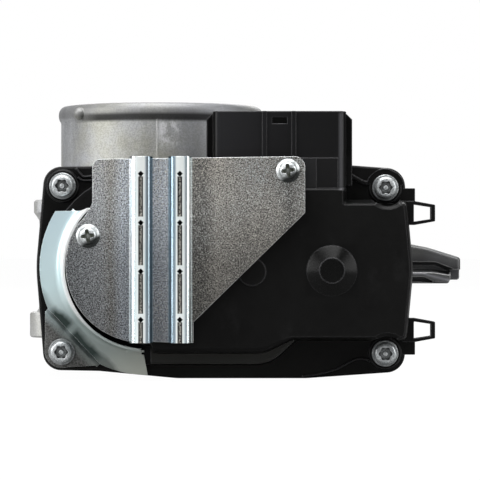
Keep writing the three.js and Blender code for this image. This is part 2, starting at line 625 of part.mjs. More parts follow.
// ---------------------------------------------------------------------------------------------------
// Gear cover with its connector and harness loops
// ---------------------------------------------------------------------------------------------------
const DOWELS = [[-40.6, 44], [78, -9.2]];
const SHIELD_SCREWS = [[-24.9, 39.9], [50.5, 64.5]];
const CONNECTOR = {
  xLow: 22, xHigh: 72.8, yLow: -72.2, yHigh: -52.3, zLow: 57, mouthZ: 87.4, wall: 2.1, floorZ: 68,
  corner: 3, ribX: 2.4, ribTopZ: 86.5, ledgeZ: 69.6,
};
const TERMINALS = 6;
const TERMINAL_PITCH = 7;
const HARNESS_LOOPS = [{ z: 48.8, side: 1 }, { z: 3.7, side: -1 }];

function harnessLoop({ z, side }) {
  const outer = [[95, z - 4.6, 0.3], [99.8, z - 4.6, 0.3], [107.6, z - 3.2, 0.4], [107.6, z + 3.2, 0.4],
    [99.8, z + 4.6, 0.3], [95, z + 4.6, 0.3]];
  const window = [[99.4, z - 3.3, 0.2], [106, z - 2.3, 0.2], [106, z + 2.3, 0.2], [99.4, z + 3.3, 0.2]];
  const eye = cut(
    plateY(rounded(outer, 1), COVER_FLANGE_Y - 2, COVER_BACK_Y),
    plateY(rounded(window, 1), COVER_FLANGE_Y - 3, COVER_BACK_Y + 1),
  );
  const near = z + side * 4.2;
  const far = z + side * 9.6;
  return eye.add(box(92, 100, COVER_FLANGE_Y, COVER_BACK_Y, Math.min(near, far), Math.max(near, far)));
}

function connectorShroud() {
  const c = CONNECTOR;
  const outer = barZ(
    rounded([
      [c.xLow, c.yLow, c.corner], [c.xHigh, c.yLow, c.corner], [c.xHigh, c.yHigh, 2], [c.xLow, c.yHigh, 2],
    ], 4).map((p) => [p.x, p.y]),
    c.zLow, c.mouthZ,
  );
  const sideRibs = [[c.xLow, -1], [c.xHigh, 1]].map(([wallX, out]) => {
    const outline = [
      new THREE.Vector2(wallX - out, c.zLow + 2),
      new THREE.Vector2(wallX + out * c.ribX, c.zLow + 2),
      new THREE.Vector2(wallX + out * c.ribX, c.ribTopZ - 2.1),
      new THREE.Vector2(wallX + out * 0.3, c.ribTopZ),
      new THREE.Vector2(wallX - out, c.ribTopZ),
    ];
    return plateY(out > 0 ? outline : outline.reverse(), c.yLow + 5, c.yHigh - 6);
  });
  const guides = [41.7, 52.8].map((x) => box(x - 0.9, x + 0.9, c.yLow - 0.6, c.yLow + 1, c.ledgeZ, c.mouthZ));
  const ledge = box(44, 61.4, c.yLow - 0.8, c.yLow + 1, c.zLow, c.ledgeZ);
  const lowerPanel = box(61, 69.6, c.yLow - 0.4, c.yLow + 1, c.zLow, c.ledgeZ);
  return join(outer, ...sideRibs, ...guides, ledge, lowerPanel);
}

function connectorCavity() {
  const c = CONNECTOR;
  const inside = barZ(
    rounded([[c.xLow + c.wall, c.yLow + c.wall, 1], [c.xHigh - c.wall, c.yLow + c.wall, 1],
      [c.xHigh - c.wall, c.yHigh - c.wall, 1], [c.xLow + c.wall, c.yHigh - c.wall, 1]], 2)
      .map((p) => [p.x, p.y]),
    c.floorZ, c.mouthZ + 1,
  );
  const latchWindow = box(44.6, 50.3, c.yLow - 2, c.yLow + 4, 82.6, 85);
  return inside.add(latchWindow);
}

function terminalX(k) {
  return (CONNECTOR.xLow + CONNECTOR.xHigh) / 2 + (k - (TERMINALS - 1) / 2) * TERMINAL_PITCH;
}
const TERMINAL_Y = -62.2;

// Where the crescent shield lies: its face, the slanted rim that stands on its inner edge, and their ends.
const CRESCENT = {
  x: -3, z: 28, outer: 41.3, outerFrom: 148.7, outerTo: 202.5, tailFrom: 243.8, tailTo: 270, y: -63.9,
  rimR: 30.7, rimY: -76.2, rimFrom: 132.9, rimTo: 266, footX: -4.4, footZ: 28.6, footR: 32.1, footFrom: 139.4,
};

// A raised rim along a smooth line through points on the cover's flange.
function flangeRim(points, width) {
  const line = new THREE.SplineCurve(points.map(([x, z]) => new THREE.Vector2(x, z)));
  const steps = 4 * (points.length - 1);
  const side = (offset) => Array.from({ length: steps + 1 }, (_, k) => {
    const along = line.getTangent(k / steps);
    return line.getPoint(k / steps).add(new THREE.Vector2(along.y, -along.x).multiplyScalar(offset));
  });
  return plateY([...side(width / 2), ...side(-width / 2).reverse()], SCREW_PAD_Y - 0.5, COVER_FLANGE_Y + 0.5);
}

const MOTOR_CONE = { x: 67.2, z: 26.8 };

function gearCover() {
  const shoulder = inset(CAVITY_OUTLINE, -2.8);
  const recessY = CRESCENT.y + SHEET_T + 0.3; // the shoulder is lower under the crescent shield
  const recess = plateY([
    ...arcPoints(CRESCENT.x, CRESCENT.z, 60, 118, 272, 14),
    ...arcPoints(CRESCENT.x, CRESCENT.z, 29.8, 272, 118, 20),
  ], -70, recessY);
  const flange = loftY([
    { outline: rounded(FLANGE_OUTLINE), y: COVER_BACK_Y },
    { outline: rounded(inset(FLANGE_OUTLINE, 0.3)), y: COVER_FLANGE_Y },
  ]);
  const lowerDome = cut(loftY([
    { outline: rounded(shoulder), y: COVER_FLANGE_Y + 1 },
    { outline: rounded(inset(shoulder, 0.8)), y: SHOULDER_Y },
  ]), recess);
  const upperDome = loftY([
    { outline: rounded(inset(DOME_OUTLINE, -1.2)), y: SHOULDER_Y + 4 },
    { outline: rounded(DOME_OUTLINE), y: DOME_Y + 1.6 },
    { outline: rounded(DOME_FRONT), y: DOME_Y },
  ]);
  const pads = COVER_SCREWS.map(([x, z]) => rodY(6.4, SCREW_PAD_Y, COVER_FLANGE_Y + 1, x, z, 24));
  const rims = [
    flangeRim([[74.4, 63.7], [77.6, 61.8], [80.3, 60.5], [82, 60.8], [83.4, 62.8], [87.9, 65.2], [93.3, 62.8],
      [94.8, 59.5]], 1.5),
    flangeRim([[-30.9, 66], [-29, 63.9], [-27.4, 62.8], [-22, 63.6]], 0.6),
    flangeRim([[-30.1, 62.6], [-27.8, 61.4], [-22, 61.8]], 0.6),
    flangeRim([[56.4, -14.2], [63, -13.3], [70, -11.3], [74.4, -8.9], [77.4, -7.6], [80.4, -7.6],
      [82.6, -8.4]], 0.6),
  ];
  const screwReliefs = [COVER_SCREWS[1], COVER_SCREWS[3]].map(([x, z]) =>
    turnedY([
      [0, SCREW_PAD_Y], [7.2, SCREW_PAD_Y], [7.2, DOME_Y + 1.4], [8.6, DOME_Y - 0.1], [0, DOME_Y - 0.1],
    ], x, z, 28));
  const shieldBosses = [
    rodY(4.6, SHIELD_BACK_Y + 0.3, DOME_Y + 3, ...SHIELD_SCREWS[0], 20),
    rodY(4.6, SHIELD_BACK_Y + 0.3, CONNECTOR.yLow + 3, ...SHIELD_SCREWS[1], 20),
  ];
  const motorCone = turnedY([
    [0, DOME_Y + 1], [9.6, DOME_Y + 1], [9.6, DOME_Y], [4.6, DOME_Y - 3], [0, DOME_Y - 3],
  ], MOTOR_CONE.x, MOTOR_CONE.z, 32);
  const idlerBoss = turnedY([[0, DOME_Y + 1], [5.4, DOME_Y + 1], [5.4, DOME_Y - 0.8], [0, DOME_Y - 0.8]],
    IDLER_X, IDLER_Z, 24);
  const outside = join(
    flange, lowerDome, upperDome, ...pads, ...rims, ...shieldBosses, motorCone, idlerBoss,
    connectorShroud(), ...HARNESS_LOOPS.map(harnessLoop),
  );
  const lowerCavity = plateY(rounded(CAVITY_OUTLINE), LOWER_CEILING_Y, COVER_BACK_Y + 1);
  const upperCavity = plateY(rounded(inset(DOME_OUTLINE, 2.6)), DOME_INSIDE_Y, LOWER_CEILING_Y + 1);
  const hollow = cut(outside, ...screwReliefs, lowerCavity, upperCavity, connectorCavity());
  const pinSocket = rodY(5.5, DOME_INSIDE_Y - 0.5, -68.8, IDLER_X, IDLER_Z, 20);
  const slots = Array.from({ length: TERMINALS }, (_, k) =>
    box(terminalX(k) - 1.7, terminalX(k) + 1.7, TERMINAL_Y - 0.7, TERMINAL_Y + 0.7, 50, 70));
  return cut(
    hollow.add(pinSocket),
    rodY(3.15, -70.6, -60, IDLER_X, IDLER_Z, 16),
    ...COVER_SCREWS.map(([x, z]) => rodY(2.7, -60, -50, x, z, 16)),
    ...DOWELS.map(([x, z]) => rodY(2.1, COVER_BACK_Y - 2.6, -50, x, z, 12)),
    ...SHIELD_SCREWS.map(([x, z]) => rodY(2.15, -80, SHIELD_BACK_Y + 7, x, z, 12)),
    ...slots,
  );
}

function coverGasket() {
  return cut(
    plateY(rounded(inset(CAVITY_OUTLINE, -3.6)), COVER_BACK_Y + 0.02, JOINT_Y + 1.4),
    plateY(rounded(inset(CAVITY_OUTLINE, -1.6)), COVER_BACK_Y - 1, JOINT_Y + 2),
  );
}

// A flat blade that turns from the connector down into the gearbox.
function connectorTerminal(k) {
  const x = terminalX(k);
  const blade = box(x - 1.4, x + 1.4, TERMINAL_Y - 0.4, TERMINAL_Y + 0.4, 53.5, 80);
  const point = solid(new THREE.BoxGeometry(1.6, 0.5, 2).translate(x, TERMINAL_Y, 80.8));
  return blade.add(point);
}

// The position sensor: a board on the dome's inside with a stem that reaches into the ring magnet.
function sensorBoard() {
  const board = box(-14, 12, DOME_INSIDE_Y + 0.15, -69.9, SHAFT_Z - 12, SHAFT_Z + 22);
  return board.add(rodY(4.6, -70.5, -66.6, 0, SHAFT_Z, 20));
}

// ---------------------------------------------------------------------------------------------------
// Fasteners
// ---------------------------------------------------------------------------------------------------
const WASHER = { inner: 2.6, outer: 5.1, thickness: 1.2 };
const EAR_T = 1; // the crescent shield's ear lies under the lower left screw's washer

function washerBack(index) {
  return SCREW_PAD_Y - (index === LOWER_LEFT_SCREW ? EAR_T + 0.3 : 0) - 0.05;
}

// A pan head M5 screw with a six-lobe recess and a centre pin.
function coverScrew([x, z], index) {
  const seat = washerBack(index) - WASHER.thickness - 0.05;
  const profile = [
    [0, -43], [2.2, -43], [2.4, -43.6], [2.4, seat], [4.4, seat], [4.4, seat - 1.6], [4, seat - 2.6],
    [3.2, seat - 3.2], [0, seat - 3.2],
  ];
  const recess = rodY(2.7, seat - 5, seat - 1.2, x, z, 6);
  const pin = rodY(0.8, seat - 2.6, seat - 1.1, x, z, 8);
  return cut(turnedY(profile, x, z, 18), recess).add(pin);
}

// A pan head M5 screw with a cross recess.
function shieldScrew([x, z]) {
  const seat = SHIELD_BACK_Y - SHEET_T - 0.05;
  const profile = [
    [0, -71.2], [1.8, -71.2], [2, -71.8], [2, seat], [4.5, seat], [4.5, seat - 0.6], [3.6, seat - 1],
    [3.1, seat - 2.3], [1.8, seat - 3.1], [0, seat - 3.3],
  ];
  const cross = [box(x - 2.3, x + 2.3, seat - 5, seat - 1.4, z - 0.55, z + 0.55),
    box(x - 0.55, x + 0.55, seat - 5, seat - 1.4, z - 2.3, z + 2.3)];
  return cut(turnedY(profile, x, z, 18), ...cross);
}

// ---------------------------------------------------------------------------------------------------
// Sheet-metal shields
// ---------------------------------------------------------------------------------------------------
const SHIELD = { xLow: -23.25, xHigh: 56.9, zLow: -0.4, zHigh: 69.9, arcX: -4, arcZ: 29, arcR: 29.3 };
const RIB = {
  centres: [-4.9, 9.8], half: 4.4, shoulder: 3.2, shoulderH: 2.2, height: 3, slotHalf: 0.65,
  holeZ: [63.3, 44.9, 26.6, 8.4], holeR: 1.15, bridge: 2.1,
};

// One rib's section, measured from its centre line: it stands towards -Y, and `skin` shrinks it inwards.
function ribSection(centre, skin) {
  const base = SHIELD_BACK_Y - SHEET_T;
  return [
    [centre - RIB.half + skin, SHIELD_BACK_Y + (skin ? 1 : 0)], [centre - RIB.half + skin, base + skin],
    [centre - RIB.shoulder + skin, base - RIB.shoulderH + skin], [centre - 1.2, base - RIB.height + skin],
    [centre + 1.2, base - RIB.height + skin], [centre + RIB.shoulder - skin, base - RIB.shoulderH + skin],
    [centre + RIB.half - skin, base + skin], [centre + RIB.half - skin, SHIELD_BACK_Y + (skin ? 1 : 0)],
  ];
}

function heatShield() {
  const s = SHIELD;
  const outline = [
    ...arcPoints(s.arcX, s.arcZ, s.arcR, 150, 258, 14),
    new THREE.Vector2(14.8, s.zLow), new THREE.Vector2(14.8, 7.4), new THREE.Vector2(s.xHigh, 48.6),
    ...arcPoints(s.xHigh - 4, s.zHigh - 4, 4, 0, 90, 4),
    ...arcPoints(s.xLow + 3.2, s.zHigh - 4.2, 3.2, 90, 180, 3),
    new THREE.Vector2(s.xLow, 52.6),
    new THREE.Vector2(-24.2, 50),
    new THREE.Vector2(-26.4, 46.8),
  ];
  const sheet = plateY(outline, SHIELD_BACK_Y - SHEET_T, SHIELD_BACK_Y);
  const ribs = RIB.centres.map((x) => barZ(ribSection(x, 0), s.zLow, s.zHigh));
  const channels = RIB.centres.map((x) => barZ(ribSection(x, 0.9), s.zLow - 1, s.zHigh + 1));
  const crest = SHIELD_BACK_Y - SHEET_T - RIB.height;
  const slots = [];
  for (const x of RIB.centres) {
    RIB.holeZ.forEach((z, i) => {
      slots.push(rodY(RIB.holeR, crest - 1, SHIELD_BACK_Y + 1, x, z, 4));
      const next = RIB.holeZ[i + 1];
      const end = next === undefined ? s.zLow - 1 : next + RIB.holeR + RIB.bridge;
      slots.push(box(x - RIB.slotHalf, x + RIB.slotHalf, crest - 1, crest + 0.6, end, z));
    });
  }
  const holes = SHIELD_SCREWS.map(([x, z]) => rodY(2.7, -90, -70, x, z, 16));
  return cut(cut(join(sheet, ...ribs), ...channels), ...slots, ...holes);
}

// The crescent that covers the round end of the gearbox, with an ear under the lower left cover screw.
function crescentShield() {
  const c = CRESCENT;
  const [screwX, screwZ] = COVER_SCREWS[LOWER_LEFT_SCREW];
  const earY = SCREW_PAD_Y - EAR_T - 0.15;
  const side = arcPoints(c.x, c.z, c.outer, c.outerFrom, c.outerTo, 8);
  const tail = arcPoints(c.x, c.z, c.outer, c.tailFrom, c.tailTo, 5);
  const face = plateY([...side, ...tail, ...arcPoints(c.footX, c.footZ, c.footR, c.tailTo, c.footFrom, 20)],
    c.y, c.y + SHEET_T);
  const ear = plateY(rounded([[screwX - 6.7, screwZ - 6.6, 6.4], [-22.3, -9.9, 0.3], [-42.6, 11.2, 0.3]]),
    earY, earY + EAR_T);
  const foldTop = side[side.length - 1];
  const foldEnd = tail[0];
  const outwards = new THREE.Vector2(foldEnd.y - foldTop.y, foldTop.x - foldEnd.x).normalize();
  const strip = (low, high) => [
    foldTop.clone().addScaledVector(outwards, high), foldEnd.clone().addScaledVector(outwards, high),
    foldEnd.clone().addScaledVector(outwards, low), foldTop.clone().addScaledVector(outwards, low),
  ];
  const fold = loftY([{ outline: strip(1, 2.1), y: earY + EAR_T }, { outline: strip(-1.1, 0), y: c.y }]);
  const rimAt = (x, z, radius, from, y) => ({
    y,
    outline: [
      ...arcPoints(x, z, radius + SHEET_T, from, c.rimTo, 20),
      ...arcPoints(x, z, radius, c.rimTo, from, 20),
    ],
  });
  const rim = loftY([
    rimAt(c.footX, c.footZ, c.footR - 0.2, c.footFrom, c.y + SHEET_T / 2),
    rimAt(c.x, c.z, c.rimR, c.rimFrom, c.rimY),
  ]);
  const lip = box(-11, -4.2, c.y - 1.6, c.y + 0.5, -4.6, -3.6);
  return cut(join(face, ear, fold, rim, lip), rodY(2.7, -70, -50, screwX, screwZ, 16));
}

// ---------------------------------------------------------------------------------------------------
// Assembly
// ---------------------------------------------------------------------------------------------------
piece("throttle_casting", casting(), castAluminium);
const plugProfile = [[0, 51.4], [9, 51.4], [9, 53.8], [8, 53.8], [8, 52.4], [0, 52.4]];
piece("rear_shaft_plug", turnedY(plugProfile, 0, SHAFT_Z, 24), steel);
piece("rear_needle_bearing", ringY(5.3, 6.95, 42.8, 50.6, 0, SHAFT_Z, 24), steel);
piece("rear_shaft_seal", shaftSeal(39.8, 42.3), rubber);
piece("front_shaft_seal", shaftSeal(-43.4, -40.6), rubber);
piece("front_bearing_outer_ring", ringY(BALL_BEARING.outerIn, BALL_BEARING.outer, BALL_BEARING.yLow,
  BALL_BEARING.yHigh, 0, SHAFT_Z, 24), steel);
piece("front_bearing_ball_cage", ballCage(), steel);

piece("throttle_shaft", shaft(), steel, rotor);
piece("throttle_plate", valvePlate(), brass, rotor);
piece("throttle_plate_screw_1", valveScrew(-VALVE.screwY), steel, rotor);
piece("throttle_plate_screw_2", valveScrew(VALVE.screwY), steel, rotor);
piece("front_bearing_inner_ring", ringY(BALL_BEARING.inner, BALL_BEARING.innerOut, BALL_BEARING.yLow,
  BALL_BEARING.yHigh, 0, 0), steel, rotor);
piece("stop_lever", stopLever(), zincSteel, rotor);
piece("sector_gear", sectorGear(), gearPlastic, rotor);
piece("sensor_magnet_ring", ringY(5.6, 8.2, -68.8, -65.4, 0, 0, 28), ferrite, rotor);
piece("sector_gear_nut", hexNut(7.4, 4.2, -65.2, -62.4, 0, 0), steel, rotor);

piece("return_spring", torsionSpring(16, 0.7, -48, -53, 3, -0.6), springSteel);
piece("closed_stop_screw", rodY(2, -56, -44.3, CLOSED_STOP.x, CLOSED_STOP.z, 16), steel);
piece("closed_stop_locknut", hexNut(3.9, 2.15, -54, -52.7, CLOSED_STOP.x, CLOSED_STOP.z), steel);

piece("idler_pin", rodY(3, -70.3, -38.4, IDLER_X, IDLER_Z, 20), steel);
piece("idler_gear", idlerGear(), gearPlastic);

piece("motor_case", motorCase(), zincSteel);
piece("motor_magnet_upper", motorMagnet(1), ferrite);
piece("motor_magnet_lower", motorMagnet(-1), ferrite);
piece("motor_end_plate", motorEndPlate(), blackPlastic);
piece("motor_shaft", rodY(MOTOR.shaftR, -69.6, 7, MOTOR_X, MOTOR_Z, 16), steel);
piece("motor_armature", motorArmature(), copper);
piece("motor_commutator", ringY(MOTOR.shaftR + 0.1, 5, -42, -34, MOTOR_X, MOTOR_Z, 20), copper);
piece("motor_pinion", motorPinion(), brass);
piece("motor_wave_washer", ringY(9, 13, 8.5, 8.9, MOTOR_X, MOTOR_Z, 24), springSteel);
MOTOR_SCREWS.forEach(([x, z], i) => {
  const profile = [
    [0, -43.5], [1.45, -43.5], [1.45, -49.1], [2.8, -49.1], [2.8, -50.4], [1.8, -51.2], [0, -51.2],
  ];
  piece(`motor_screw_${i + 1}`, turnedY(profile, x, z, 16), steel);
});
[-8, 8].forEach((dx, i) => {
  const x = MOTOR_X + dx;
  piece(`motor_terminal_${i + 1}`, box(x - 1.5, x + 1.5, -54, -44, MOTOR_Z - 0.4, MOTOR_Z + 0.4), copper);
});

piece("cover_gasket", coverGasket(), rubber);
piece("gear_cover", gearCover(), blackPlastic);
piece("position_sensor", sensorBoard(), boardGreen);
for (let k = 0; k < TERMINALS; k++) {
  piece(`connector_terminal_${k + 1}`, connectorTerminal(k), zincSteel);
}
DOWELS.forEach(([x, z], i) => {
  piece(`cover_dowel_${i + 1}`, rodY(1.95, COVER_BACK_Y - 2.3, JOINT_Y + 5, x, z, 16), steel);
});
COVER_SCREWS.forEach((place, i) => {
  const back = washerBack(i);
  const washer = ringY(WASHER.inner, WASHER.outer, back - WASHER.thickness, back, ...place, 20);
  piece(`cover_washer_${i + 1}`, washer, zincSteel);
  piece(`cover_screw_${i + 1}`, coverScrew(place, i), zincSteel);
});
piece("crescent_shield", crescentShield(), zincSteel);
piece("heat_shield", heatShield(), darkZinc);
SHIELD_SCREWS.forEach((place, i) => piece(`shield_screw_${i + 1}`, shieldScrew(place), zincSteel));

export default throttleBody;
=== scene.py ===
"""Looks of the electronic throttle body. Lengths in the shape code are in millimetres, in the same frame as
the CAD model, and each piece is turned into metres when it is finished."""

import json
import math

import bmesh
import bpy
from mathutils import Matrix, Vector


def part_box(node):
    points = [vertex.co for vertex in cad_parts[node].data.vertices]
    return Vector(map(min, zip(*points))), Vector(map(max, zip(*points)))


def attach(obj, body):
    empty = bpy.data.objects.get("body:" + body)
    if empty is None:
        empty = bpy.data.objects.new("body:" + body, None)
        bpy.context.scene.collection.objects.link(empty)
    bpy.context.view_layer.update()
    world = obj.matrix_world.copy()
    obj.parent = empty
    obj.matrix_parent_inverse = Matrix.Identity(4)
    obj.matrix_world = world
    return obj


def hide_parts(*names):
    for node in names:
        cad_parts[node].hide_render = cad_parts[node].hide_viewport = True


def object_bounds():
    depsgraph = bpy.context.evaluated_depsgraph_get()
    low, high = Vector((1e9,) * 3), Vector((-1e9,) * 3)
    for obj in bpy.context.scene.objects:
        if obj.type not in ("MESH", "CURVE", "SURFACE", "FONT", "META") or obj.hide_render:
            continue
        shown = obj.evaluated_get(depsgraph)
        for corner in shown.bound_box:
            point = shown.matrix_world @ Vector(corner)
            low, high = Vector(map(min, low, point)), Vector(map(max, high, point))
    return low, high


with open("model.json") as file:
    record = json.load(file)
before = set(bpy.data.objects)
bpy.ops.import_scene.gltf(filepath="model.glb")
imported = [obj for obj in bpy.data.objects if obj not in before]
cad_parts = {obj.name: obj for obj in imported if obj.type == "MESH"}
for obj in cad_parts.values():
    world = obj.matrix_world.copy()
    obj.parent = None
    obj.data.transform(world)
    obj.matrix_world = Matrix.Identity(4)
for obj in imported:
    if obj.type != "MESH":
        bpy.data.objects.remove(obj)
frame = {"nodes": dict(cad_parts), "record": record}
cad_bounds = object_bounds()
NODES = frame["nodes"]
SCENE = bpy.context.scene

# ---- Dimensions shared with the CAD model ----
BORE_R, TUBE_R, BEAD_R, BEAD_FOOT_Z, INLET_TOP_Z = 37.5, 40.6, 41.6, 86.0, 92.5
FLANGE_T, SHAFT_Z, SHAFT_R = 10.0, 27.6, 5.0
OPENING = math.radians(6)
CASTING_BACK_Y, POCKET_FLOOR_Y, JOINT_Y = -42.0, -47.0, -52.0
COVER_BACK_Y, COVER_FLANGE_Y, SCREW_PAD_Y, SHOULDER_Y = -52.3, -56.0, -57.0, -64.5
DOME_INSIDE_Y, DOME_Y, SHIELD_BACK_Y, SHEET_T = -71.2, -73.7, -77.5, 1.0
LOWER_CEILING_Y = -61.2
# Radii of holes: dowels, the idler's pin, and M5 screws where they bite and where they pass.
DOWEL_HOLE_R, PIN_HOLE_R, THREAD_R, CLEARANCE_R = 2.1, 3.15, 2.55, 2.7
MOTOR_CONE = (67.2, 26.8)
RIB_X = (-4.9, 9.8)
RIB_HOLE_Z = (63.3, 44.9, 26.6, 8.4)


def middle(node):
    """The centre of a CAD node's box, in millimetres."""
    low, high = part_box(node)
    return (low + high) * 500


MOTOR = middle("motor_shaft")
IDLER = middle("idler_pin")
COVER_SCREWS = [middle(f"cover_washer_{k}") for k in (1, 2, 3, 4)]
SHIELD_SCREWS = [middle(f"shield_screw_{k}") for k in (1, 2)]
DOWELS = [middle(f"cover_dowel_{k}") for k in (1, 2)]
# The bolt columns: places from the bore's axis, radii and heights.
BOLT = {
    "x": 40.6, "y": 31, "hole": 4.25, "column": 6.4, "head": 8.6, "foot": 10.2, "head_z": 48.5, "top_z": 54.3,
}
CONNECTOR = {
    "x0": 22, "x1": 72.8, "y0": -72.2, "y1": -52.3, "z0": 57, "mouth": 87.4, "wall": 2.1, "floor": 68,
    "rib_x": 2.4, "rib_top": 86.5, "ledge": 69.6,
}
# The crescent shield: circles by centre and radius, angles in degrees.
CRESCENT = {
    "x": -3, "z": 28, "y": -63.9, "outer": 41.3, "outer_from": 148.7, "outer_to": 202.5,
    "tail_from": 243.8, "tail_to": 270, "rim_r": 30.7, "rim_y": -76.2, "rim_to": 266,
    "foot_x": -4.4, "foot_z": 28.6, "foot_r": 32.1,
}

# Outlines in XZ, as corners (x, z, radius).
FLANGE_OUTLINE = [
    (-43.2, -11.8, 7), (-22, -12.2, 12), (8, -15, 25), (58, -15, 20), (95.6, -12.4, 7.2),
    (98.6, 27, 60), (95.7, 65.8, 7.2), (74, 67.4, 10), (-43, 66.8, 7.2), (-46.4, 28, 60),
]
CAVITY_OUTLINE = [
    (-37.5, 19.5, 6), (-15, 2.5, 5), (-10.5, -7, 4), (43, -7, 12), (54, 3.2, 8), (92.4, 3.2, 2.5),
    (94, 27, 40), (92.4, 49.8, 2.5), (70, 49.8, 3), (70, 60.3, 3), (-37.5, 60.3, 28),
]
DOME_OUTLINE = [
    (-32.4, -1.4, 29), (-1.2, -1.4, 0.6), (-0.4, -4.5, 1), (41.5, -4.5, 13), (52.5, 0.8, 9),
    (95.4, 0.8, 1.5), (97.8, 27, 50), (95.4, 52.6, 1.5), (72.2, 52.6, 1), (72.2, 58.4, 1), (-32.4, 58.4, 29),
]
DOME_FRONT = [
    (-31.5, -0.5, 28.1), (-1.8, -0.5, 0.6), (-0.8, -2.2, 1), (39.8, -2.2, 15), (51.2, 1.7, 8),
    (94.5, 1.7, 1.2), (96.9, 27, 49.1), (94.5, 51.7, 1.2), (71.3, 51.7, 0.7), (71.3, 57.5, 0.7),
    (-31.5, 57.5, 28.1),
]


# ---- Shapes ----
def rounded(corners, steps=10):
    """Corners (a, b, radius) as an outline, with the same number of points for each corner."""
    outline = []
    for i, (a, b, radius) in enumerate(corners):
        here = Vector((a, b))
        back = (Vector(corners[i - 1][:2]) - here).normalized()
        on = (Vector(corners[(i + 1) % len(corners)][:2]) - here).normalized()
        half = math.acos(max(-1, min(1, back.dot(on)))) / 2
        centre = here + (back + on).normalized() * (radius / math.sin(half))
        tangent = radius / math.tan(half)
        start = here + back * tangent - centre
        end = here + on * tangent - centre
        first = math.atan2(start.y, start.x)
        sweep = math.atan2(end.y, end.x) - first
        sweep = math.atan2(math.sin(sweep), math.cos(sweep))
        for k in range(steps + 1):
            angle = first + sweep * k / steps
            outline.append((centre.x + radius * math.cos(angle), centre.y + radius * math.sin(angle)))
    return outline


def blend(one, other, share):
    """Between two outlines with the same number of points."""
    return [(a + (c - a) * share, b + (d - b) * share) for (a, b), (c, d) in zip(one, other)]


def inset(corners, distance):
    """Rounded corners moved inwards, or outwards by a negative distance."""
    moved = []
    for i, (a, b, radius) in enumerate(corners):
        here = Vector((a, b))
        arriving = (here - Vector(corners[i - 1][:2])).normalized()
        leaving = (Vector(corners[(i + 1) % len(corners)][:2]) - here).normalized()
        turn = arriving.x * leaving.y - arriving.y * leaving.x
        normal = Vector((-arriving.y - leaving.y, arriving.x + leaving.x)).normalized()
        reach = distance / normal.dot(Vector((-leaving.y, leaving.x)))
        new_radius = max(radius - distance if turn > 0 else radius + distance, 0.4)
        moved.append((a + normal.x * reach, b + normal.y * reach, new_radius))
    return moved


def arc(a, b, radius, start, end, steps):
    """Points along an arc. The angles are in degrees."""
    points = []
    for k in range(steps + 1):
        angle = math.radians(start + (end - start) * k / steps)
        points.append((a + radius * math.cos(angle), b + radius * math.sin(angle)))
    return points


def solid(bm, name="part"):
    """A closed bmesh as an object, facing out. It is still in millimetres."""
    bmesh.ops.remove_doubles(bm, verts=bm.verts, dist=1e-4)
    bmesh.ops.recalc_face_normals(bm, faces=bm.faces)
    if bm.calc_volume(signed=True) < 0:
        bmesh.ops.reverse_faces(bm, faces=bm.faces)
    mesh = bpy.data.meshes.new(name)
    bm.to_mesh(mesh)
    bm.free()
    made = bpy.data.objects.new(name, mesh)
    SCENE.collection.objects.link(made)
    return made


def rings(loops, closed=False):
    """A body through rings of points with the same number each. A one-point ring is a tip. A closed body runs
    on from its last ring to its first."""
    bm = bmesh.new()
    made = [[bm.verts.new(p) for p in loop] for loop in loops]
    for a, b in zip(made, made[1:] + made[:1] if closed else made[1:]):
        count = max(len(a), len(b))
        for i in range(count):
            j = (i + 1) % count
            corners = [a[i % len(a)], a[j % len(a)], b[j % len(b)], b[i % len(b)]]
            unique = list(dict.fromkeys(corners))
            if len(unique) > 2:
                bm.faces.new(unique)
    for end in () if closed else (made[0], made[-1]):
        if len(end) > 2:
            bm.faces.new(end)
    return solid(bm)


def loft_y(sections):
    """Through (outline in XZ, y) pairs."""
    return rings([[(x, y, z) for x, z in outline] for outline, y in sections])


def loft_z(sections):
    """Through (outline in XY, z) pairs."""
    return rings([[(x, y, z) for x, y in outline] for outline, z in sections])


def stack_y(corners, levels, steps=10):
    """Through one outline that is inset differently at each level. The levels are (inset, y) pairs."""
    return loft_y([(rounded(inset(corners, d), steps), y) for d, y in levels])


def stack_z(corners, levels, steps=10):
    return loft_z([(rounded(inset(corners, d), steps), z) for d, z in levels])


def plate_y(outline, low, high):
    return loft_y([(outline, high), (outline, low)])


def soft_plate_y(corners, low, high, edge, steps):
    """A plate whose two rims are rounded over by `edge`."""
    near = edge * 0.29
    behind = [(edge, high), (near, high - near), (0, high - edge)]
    in_front = [(0, low + edge), (near, low + near), (edge, low)]
    return stack_y(corners, behind + in_front, steps)


def turned(profile, place, sides):
    """A turned body. The profile is (radius, height) pairs, from axis to axis or closed, and `place` puts two
    distances off the axis and a height into space."""
    turns = [2 * math.pi * k / sides for k in range(sides)]
    loops = []
    for r, height in profile:
        offsets = [(r * math.cos(t), r * math.sin(t)) for t in turns] if r else [(0, 0)]
        loops.append([place(a, b, height) for a, b in offsets])
    closed = profile[0] == profile[-1]
    return rings(loops[:-1] if closed else loops, closed)


def turned_y(profile, x, z, sides=64):
    return turned(profile, lambda a, b, y: (x + a, y, z + b), sides)


def turned_z(profile, x, y, sides=64):
    return turned(profile, lambda a, b, z: (x + a, y + b, z), sides)


def rod_y(radius, low, high, x, z, sides=48):
    return turned_y([(0, low), (radius, low), (radius, high), (0, high)], x, z, sides)


def rod_z(radius, low, high, x, y, sides=48):
    return turned_z([(0, low), (radius, low), (radius, high), (0, high)], x, y, sides)


def ball(radius, x, y, z):
    rows = 12
    steps = [math.pi * k / rows for k in range(rows + 1)]
    profile = [(round(radius * math.sin(t), 6), z - radius * math.cos(t)) for t in steps]
    return turned_z(profile, x, y, 24)


def box(x0, x1, y0, y1, z0, z1):
    return loft_z([([(x0, y0), (x1, y0), (x1, y1), (x0, y1)], z) for z in (z0, z1)])


